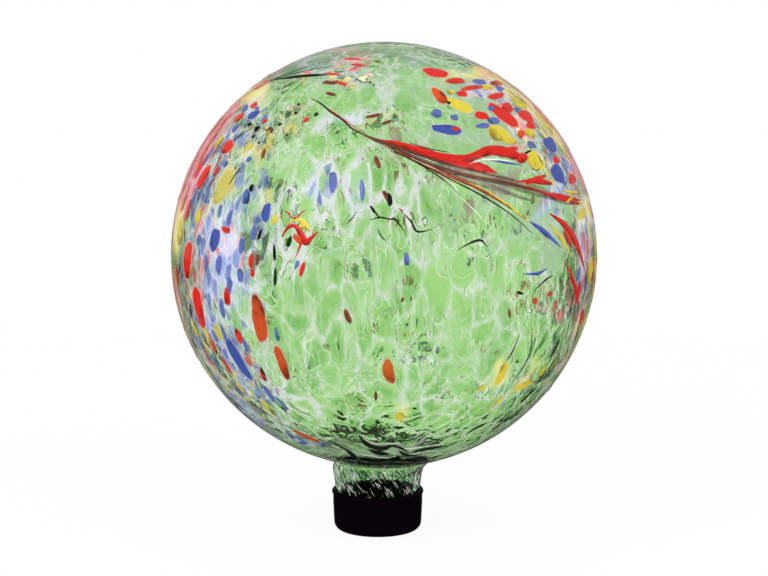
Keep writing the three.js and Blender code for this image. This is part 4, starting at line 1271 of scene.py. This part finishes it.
def ribbon(rows, settings, raised):
    """One pulled thread as a flat lens-shaped ribbon in the ball's skin, darker along its lower side."""
    steps = RIBBON_STEPS
    out, side, half = smooth_run(rows, steps)
    section = [(-1, 0), (-0.6, 0.8), (0, 1), (0.6, 0.8), (1, 0), (0.6, -0.8), (0, -1), (-0.6, -0.8)]
    count = len(section)
    verts, melt = [], []
    for o, s, h in zip(out, side, half):
        for across, swell in section:
            direction = o + s * across * h
            direction /= np.linalg.norm(direction)
            lift = settings.crown * swell if swell > 0 else settings.depth * swell
            verts.append(BALL_CENTRE + direction * (BALL_RADIUS - SUNK + raised + lift))
            melt.append((1 - abs(across), 0.15 - across, 0.0))
    faces = []
    for low in range(0, steps * count, count):
        high = low + count
        faces += [(low + i, high + i, high + after, low + after) for i, after in around(count)]
    faces.append(tuple(range(count)))
    faces.append(tuple(reversed(range(steps * count, (steps + 1) * count))))
    return np.array(verts), faces, melt


class GAZING_OT_globe(bpy.types.Operator):
    """Makes the glass globe: a fine skin outside and a dimpled one inside, joined at the neck's lip"""

    bl_idname = "gazing.globe"
    bl_label = "Glass globe"

    def execute(self, context):
        settings = context.scene.gazing_globe
        angles = front_angles(GLOBE_SEGMENTS)
        outside, faces = turned(wall_line(settings, 0, 0, OUTER_ROWS), angles)
        line = wall_line(settings, settings.neck_wall, settings.ball_wall, INNER_ROWS)
        inside, inside_faces = turned(line, angles[::2])
        lean_to_ball(outside, settings)
        lean_to_ball(inside, settings)
        out = unit(inside - BALL_CENTRE)
        over_neck = inside[:, 2] - NECK_END_Z - settings.neck_length
        on_ball = np.clip((over_neck - 10 * MM) / (10 * MM), 0, 1)
        dimple = cell_heights(inside, settings.dimple_size, SEED) - 0.5
        dimple *= settings.dimple_depth * on_ball * (1 - painted(out, CALM_ROWS))
        inside += out * dimple[:, None]
        base = len(outside)
        faces += [tuple(i + base for i in reversed(face)) for face in inside_faces]
        verts = np.vstack([outside, inside])
        verts, lip_faces = self.lip(verts, settings, base, angles)
        piece = new_piece("glass_globe_fine", verts, faces + lip_faces, globe_material(settings))
        paint(piece.data, verts)
        store(piece.data, "outer", (np.arange(len(verts)) < base).astype(float))
        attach(piece, "globe")
        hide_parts("glass_globe")
        return {"FINISHED"}

    def lip(self, verts, settings, base, angles):
        """The rounded end of the neck, from the outer skin's first ring to the inner one's."""
        radius = settings.neck_wall / 2
        middle = settings.neck_end_radius - radius
        turn = angles[::2]
        segments = len(turn)
        faces, rings = [], []
        start = len(verts)
        extra = []
        for k in range(1, LIP_STEPS):
            angle = math.pi * k / LIP_STEPS
            r = middle + radius * math.cos(angle)
            z = NECK_END_Z + radius - radius * math.sin(angle)
            extra.append(np.stack([r * np.sin(turn), -r * np.cos(turn), np.full(segments, z)], axis=1))
            rings.append(start + (k - 1) * segments)
        for i, after in around(segments):
            first, between, end = 2 * i, 2 * i + 1, 2 * after
            faces.append((rings[0] + i, rings[0] + after, end, between, first))
            for low, high in zip(rings[:-1], rings[1:]):
                faces.append((high + i, high + after, low + after, low + i))
            faces.append((base + i, base + after, rings[-1] + after, rings[-1] + i))
        return np.vstack([verts, *extra]), faces


class GAZING_OT_chips(bpy.types.Operator):
    """Makes each chip of frit that has a solid of its own as a melted lens in the skin"""

    bl_idname = "gazing.chips"
    bl_label = "Frit chips"

    def execute(self, context):
        settings = context.scene.gazing_frit
        for colour in FRIT_COLOURS:
            base = getattr(settings, colour)
            front = muted = frit_material(colour, "chip", base)
            back = frit_material(colour, "chip_behind", lightened(base, PALER["chip_behind"]))
            if colour in MUTED:
                muted = frit_material(colour, "chip_muted", MUTED[colour])
            names = sorted(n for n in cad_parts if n.startswith(colour + "_chip"))
            for index, name in enumerate(names):
                row = chip_row(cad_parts[name])
                growth = CHIP_GROWTH
                if under_swirl(colour, row):
                    growth = SWIRL_GROWTH
                elif upper_right(row):
                    growth = SPRAY_GROWTH
                part = oval_lens(grown(row, growth), settings, SEED + index, CHIP_POINTS)
                material = muted if dull(colour, row) else front
                if abs(row[0]) > 90:
                    material = back
                piece = melted_piece(name + "_melted", [part], material)
                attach(piece, "globe")
                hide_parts(name)
        return {"FINISHED"}


class GAZING_OT_small_frit(bpy.types.Operator):
    """Makes the rest of the frit on the front, one piece for each colour"""

    bl_idname = "gazing.small_frit"
    bl_label = "Small frit"

    def execute(self, context):
        settings = context.scene.gazing_frit
        for colour, rows in SMALL_FRIT_ROWS.items():
            if colour != "dark":
                rows = [grown(row, SMALL_GROWTH) if upper_right(row) else row for row in rows]
            parts = [oval_lens(row, settings, SMALL_SEED + i, FRIT_POINTS) for i, row in enumerate(rows)]
            base = getattr(settings, colour)
            if colour == "blue":
                base = lightened(base, 0.18, SKY_BLUE)
            piece = melted_piece("small_" + colour + "_frit", parts, frit_material(colour, "small", base))
            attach(piece, "globe")
        return {"FINISHED"}


def scatter_tree(name, material):
    """A node tree that scatters flat oval lenses, standing upright, over the faces of a skin."""
    tree = bpy.data.node_groups.new(name, "GeometryNodeTree")
    face = tree.interface
    face.new_socket("Skin", in_out="INPUT", socket_type="NodeSocketGeometry")
    for label in ("Size", "Slimness", "Thickness", "Density"):
        face.new_socket(label, in_out="INPUT", socket_type="NodeSocketFloat")
    face.new_socket("Seed", in_out="INPUT", socket_type="NodeSocketInt")
    face.new_socket("Frit", in_out="OUTPUT", socket_type="NodeSocketGeometry")
    nodes = Nodes(tree)
    given = nodes.add("NodeGroupInput").outputs
    share = nodes.out("GeometryNodeInputNamedAttribute", {"data_type": "FLOAT"}, Name="share")
    points = nodes.add("GeometryNodeDistributePointsOnFaces", Mesh=given["Skin"],
                       Density=nodes.times(given["Density"], share), Seed=given["Seed"]).outputs
    facing = nodes.out("FunctionNodeAlignRotationToVector", {"axis": "Z"}, Vector=points["Normal"])
    upright = nodes.out("FunctionNodeAlignRotationToVector", {"axis": "Y", "pivot_axis": "Z"},
                        Rotation=facing, Vector=(0.15, 0, 1))
    lens = nodes.out("GeometryNodeMeshUVSphere", Segments=14, Rings=8, Radius=given["Size"])
    x, _, z = nodes.split(nodes.out("GeometryNodeInputPosition"))
    inward = nodes.math("DIVIDE", nodes.math("ABSOLUTE", z), given["Size"])
    lens = stored(nodes, lens, "POINT", "melt", inward)
    lens = stored(nodes, lens, "POINT", "side", nodes.math("DIVIDE", x, given["Size"]))
    shape = nodes.out("ShaderNodeCombineXYZ", X=given["Slimness"], Y=1.0, Z=given["Thickness"])
    lens = nodes.out("GeometryNodeTransform", Geometry=lens, Scale=shape)
    placed = nodes.out("GeometryNodeInstanceOnPoints", Points=points["Points"], Instance=lens,
                       Rotation=upright, Scale=chance(nodes, given["Seed"], 0.5, 1.4))
    toned = stored(nodes, placed, "INSTANCE", "tone", chance(nodes, given["Seed"], -1.0, 1.0))
    real = nodes.out("GeometryNodeRealizeInstances", Geometry=toned)
    smooth = nodes.out("GeometryNodeSetShadeSmooth", Geometry=real)
    dressed = nodes.out("GeometryNodeSetMaterial", Geometry=smooth, Material=material)
    nodes.add("NodeGroupOutput", Frit=dressed)
    return tree


def stored(nodes, geometry, domain, name, value):
    """Geometry with one more number stored on it."""
    return nodes.out("GeometryNodeStoreNamedAttribute", {"domain": domain, "data_type": "FLOAT"},
                     Geometry=geometry, Name=name, Value=value)


def chance(nodes, seed, low, high):
    """A random number between two, for each point or instance."""
    node = nodes.add("FunctionNodeRandomValue", {"data_type": "FLOAT"}, Seed=seed)
    node.inputs[2].default_value, node.inputs[3].default_value = low, high
    return node.outputs[1]


def skin_patches(name, rows, depth, material):
    """Patches of the ball's skin at a depth, each with its share of the density, to scatter frit on."""
    verts, faces, shares = [], [], []
    for west, east, south, north, share in rows:
        columns = max(2, int((east - west) / PATCH_STEP))
        steps = max(2, int((north - south) / PATCH_STEP))
        for j in range(steps + 1):
            latitude = south + (north - south) * j / steps
            first = len(verts)
            for i in range(columns + 1):
                out = out_direction(west + (east - west) * i / columns, latitude)
                verts.append(BALL_CENTRE + (BALL_RADIUS - depth) * out)
                shares.append(share)
            if j < steps:
                faces += [(a, a + 1, a + columns + 2, a + columns + 1) for a in range(first, first + columns)]
    piece = new_piece(name, verts, faces, material)
    store(piece.data, "share", np.array(shares, dtype=float))
    return piece


def scattered(context, name, rows, settings, size, density, seed, material):
    """A piece of frit scattered over patches of skin by a node tree, as a plain mesh."""
    skin = skin_patches(name, rows, settings.depth, material)
    modifier = skin.modifiers.new("scatter", "NODES")
    modifier.node_group = scatter_tree(name + "_scatter", material)
    values = {"Size": size, "Slimness": settings.slimness, "Thickness": settings.thickness / size,
              "Density": density, "Seed": seed}
    for socket in modifier.node_group.interface.items_tree:
        if socket.name in values:
            modifier[socket.identifier] = values[socket.name]
    mesh = bpy.data.meshes.new_from_object(skin.evaluated_get(context.evaluated_depsgraph_get()))
    if not mesh.polygons:
        raise RuntimeError("no frit was scattered for " + name)
    skin.modifiers.clear()
    points = np.empty(len(mesh.vertices) * 3)
    mesh.vertices.foreach_get("co", points)
    points = points.reshape(-1, 3)
    middle = BALL_CENTRE[:2]
    points[:, :2] = np.clip(points[:, :2], middle - BALL_RADIUS, middle + BALL_RADIUS)
    mesh.vertices.foreach_set("co", points.ravel())
    skin.data = mesh
    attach(skin, "globe")
    return skin


class GAZING_OT_crumbs(bpy.types.Operator):
    """Scatters larger frit over the sides of the ball and crumbs of it over the back"""

    bl_idname = "gazing.crumbs"
    bl_label = "Frit at the sides and back"

    def execute(self, context):
        settings = context.scene.gazing_crumbs
        for turn, colour in enumerate(FRIT_COLOURS):
            base = getattr(context.scene.gazing_frit, colour)
            for kind, name, rows, size, density, seed in (
                ("crumb", "_crumbs_at_the_back", BACK_ROWS,
                 settings.size, settings.density, settings.seed + turn),
                ("side", "_frit_at_the_sides", SIDE_ROWS[colour],
                 settings.side_size, settings.side_density, settings.seed + 10 + turn),
            ):
                material = frit_material(colour, kind, lightened(base, PALER[kind]))
                piece = scattered(context, colour + name, rows, settings, size, density, seed, material)
        return {"FINISHED"}


class GAZING_OT_threads(bpy.types.Operator):
    """Makes the pulled threads, one piece for each colour"""

    bl_idname = "gazing.threads"
    bl_label = "Pulled threads"

    def execute(self, context):
        settings = context.scene.gazing_frit
        nodes = [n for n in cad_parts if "thread" in n or "stem" in n]
        for colour, runs in THREAD_ROWS.items():
            shade = THREAD_SHADES.get(colour, 1.0)
            shaded = [channel * shade for channel in getattr(settings, colour)]
            parts = [ribbon(rows, settings, THREAD_LIFTS[colour]) for rows in runs]
            piece = melted_piece(colour + "_threads", parts, frit_material(colour, "thread", shaded))
            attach(piece, "globe")
            own = [n for n in nodes if colour in n]
            if colour == "dark":
                own = [n for n in nodes if not any(word in n for word in (*FRIT_COLOURS, "brown", "amber"))]
            if own:
                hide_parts(*own)
        return {"FINISHED"}


class GAZING_OT_cap(bpy.types.Operator):
    """Makes the rubber cap: a cup with a rounded foot and a bead round its rim"""

    bl_idname = "gazing.cap"
    bl_label = "Rubber cap"

    def execute(self, context):
        settings = context.scene.gazing_cap
        verts, faces = turned(self.profile(settings), even_angles(CAP_SEGMENTS), closed=True)
        piece = new_piece("rubber_cap_fine", verts, faces, rubber_material(settings))
        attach(piece, "cap")
        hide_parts("rubber_cap")
        return {"FINISHED"}

    def profile(self, settings):
        """Radius and height round the cup, from the middle of its underside to the middle inside."""
        bead_out = CAP_HIGH.x
        top = CAP_HIGH.z
        side = bead_out - settings.bead_proud
        foot = side - settings.taper
        corner, bead = settings.corner_radius, settings.bead_radius
        points = [(0.0, CAP_LOW.z)]
        points += arc(foot - corner, CAP_LOW.z + corner, corner, -90, 0, BEND_STEPS)
        for k in range(1, SIDE_STEPS):
            share = k / SIDE_STEPS
            height = CAP_LOW.z + corner + (top - corner - 3 * bead) * share
            points.append((foot + (side - foot) * share, height))
        points += arc(bead_out - bead, top - bead, bead, -60, 90, BEND_STEPS)
        points.append((side - settings.wall, top))
        inside = CAP_LOW.z + settings.floor
        corner = settings.bore_corner
        points += arc(foot - settings.wall - corner, inside + corner, corner, 0, -90, BORE_STEPS)
        points.append((0.0, inside))
        return points


class GAZING_OT_stage(bpy.types.Operator):
    """Makes the pale floor, the lamps, the world and the camera"""

    bl_idname = "gazing.stage"
    bl_label = "Stage"

    def execute(self, context):
        settings = context.scene.gazing_stage
        self.floor(settings)
        self.world(context.scene, settings)
        for name, place, power in LAMPS:
            self.lamp(name, place, power)
        self.camera(context.scene, settings)
        context.scene.view_settings.view_transform = "Standard"
        return {"FINISHED"}

    def rays(self, nodes):
        """1 where a thing is seen straight or through glass, and 1 where it is mirrored."""
        path = nodes.add("ShaderNodeLightPath").outputs
        return nodes.larger(path["Is Camera Ray"], path["Is Transmission Ray"]), path["Is Glossy Ray"]

    def floor(self, settings):
        """A floor that is white to the camera and shaded a little under the object."""
        material, nodes = new_material("pale_floor")
        fade = nodes.ramp(nodes.length(nodes.object_place()), *FLOOR_FADE)
        matt = nodes.out("ShaderNodeBsdfDiffuse", Color=(0.9, 0.9, 0.9, 1))
        seen, mirrored = self.rays(nodes)
        level = nodes.larger(seen, settings.mirrored_floor)
        white = nodes.out("ShaderNodeEmission", Color=WHITE, Strength=level)
        share = nodes.times(nodes.larger(seen, mirrored), nodes.larger(fade, FLOOR_WHITENESS))
        nodes.add("ShaderNodeOutputMaterial", Surface=nodes.mixed_shaders(share, matt, white))
        radius = settings.floor_radius
        verts = [(radius * math.cos(angle), radius * math.sin(angle), CAP_LOW.z - FLOOR_GAP)
                 for angle in even_angles(FLOOR_SEGMENTS)]
        faces = [tuple(range(FLOOR_SEGMENTS))]
        floor = new_piece("pale_floor", verts, faces, material, smooth=False)

    def world(self, scene, settings):
        """A white background whose light and mirror image are set apart."""
        world = bpy.data.worlds.new("white_studio")
        world.use_nodes = True
        world.node_tree.nodes.clear()
        nodes = Nodes(world.node_tree)
        seen, mirrored = self.rays(nodes)
        level = nodes.ramp(mirrored, 0, 1, settings.world_light, settings.mirrored_light)
        sky = nodes.out("ShaderNodeBackground", Color=WHITE, Strength=nodes.larger(level, seen))
        nodes.add("ShaderNodeOutputWorld", Surface=sky)
        scene.world = world

    def lamp(self, name, place, power):
        """A square lamp aimed at the ball."""
        light = bpy.data.lights.new(name, "AREA")
        light.size = LAMP_SIZE
        light.energy = power
        lamp = bpy.data.objects.new(name, light)
        lamp.location = place
        aim = Vector(BALL_CENTRE) - Vector(place)
        lamp.rotation_euler = aim.to_track_quat("-Z", "Y").to_euler()
        bpy.context.scene.collection.objects.link(lamp)

    def camera(self, scene, settings):
        """The camera of the photographed view."""
        data = bpy.data.cameras.new("camera")
        data.lens = settings.lens
        data.sensor_width = 36
        data.clip_end = 50
        camera = bpy.data.objects.new("camera", data)
        camera.location = (BALL_CENTRE[0], -settings.camera_distance, settings.camera_height)
        camera.rotation_euler = (math.pi / 2 - settings.camera_pitch, 0, 0)
        scene.collection.objects.link(camera)
        scene.camera = camera


class GAZING_PT_panel(bpy.types.Panel):
    """Lists the pieces of the gazing ball"""

    bl_idname = "GAZING_PT_panel"
    bl_label = "Gazing ball"
    bl_space_type = "VIEW_3D"
    bl_region_type = "UI"
    bl_category = "Gazing ball"

    def draw(self, context):
        for operator in OPERATORS:
            self.layout.operator(operator.bl_idname)


SETTINGS = {
    "gazing_globe": GlobeSettings,
    "gazing_frit": FritSettings,
    "gazing_crumbs": CrumbSettings,
    "gazing_cap": CapSettings,
    "gazing_stage": StageSettings,
}
OPERATORS = (
    GAZING_OT_globe,
    GAZING_OT_chips,
    GAZING_OT_small_frit,
    GAZING_OT_crumbs,
    GAZING_OT_threads,
    GAZING_OT_cap,
    GAZING_OT_stage,
)


def register():
    for cls in (*SETTINGS.values(), *OPERATORS, GAZING_PT_panel):
        bpy.utils.register_class(cls)
    for name, cls in SETTINGS.items():
        setattr(bpy.types.Scene, name, bpy.props.PointerProperty(type=cls))


def unregister():
    for name in SETTINGS:
        delattr(bpy.types.Scene, name)
    for cls in (GAZING_PT_panel, *reversed(OPERATORS), *SETTINGS.values()):
        bpy.utils.unregister_class(cls)


def main():
    register()
    bpy.ops.gazing.globe()
    bpy.ops.gazing.chips()
    bpy.ops.gazing.small_frit()
    bpy.ops.gazing.crumbs()
    bpy.ops.gazing.threads()
    bpy.ops.gazing.cap()
    bpy.ops.gazing.stage()


if __name__ == "__main__":
    main()
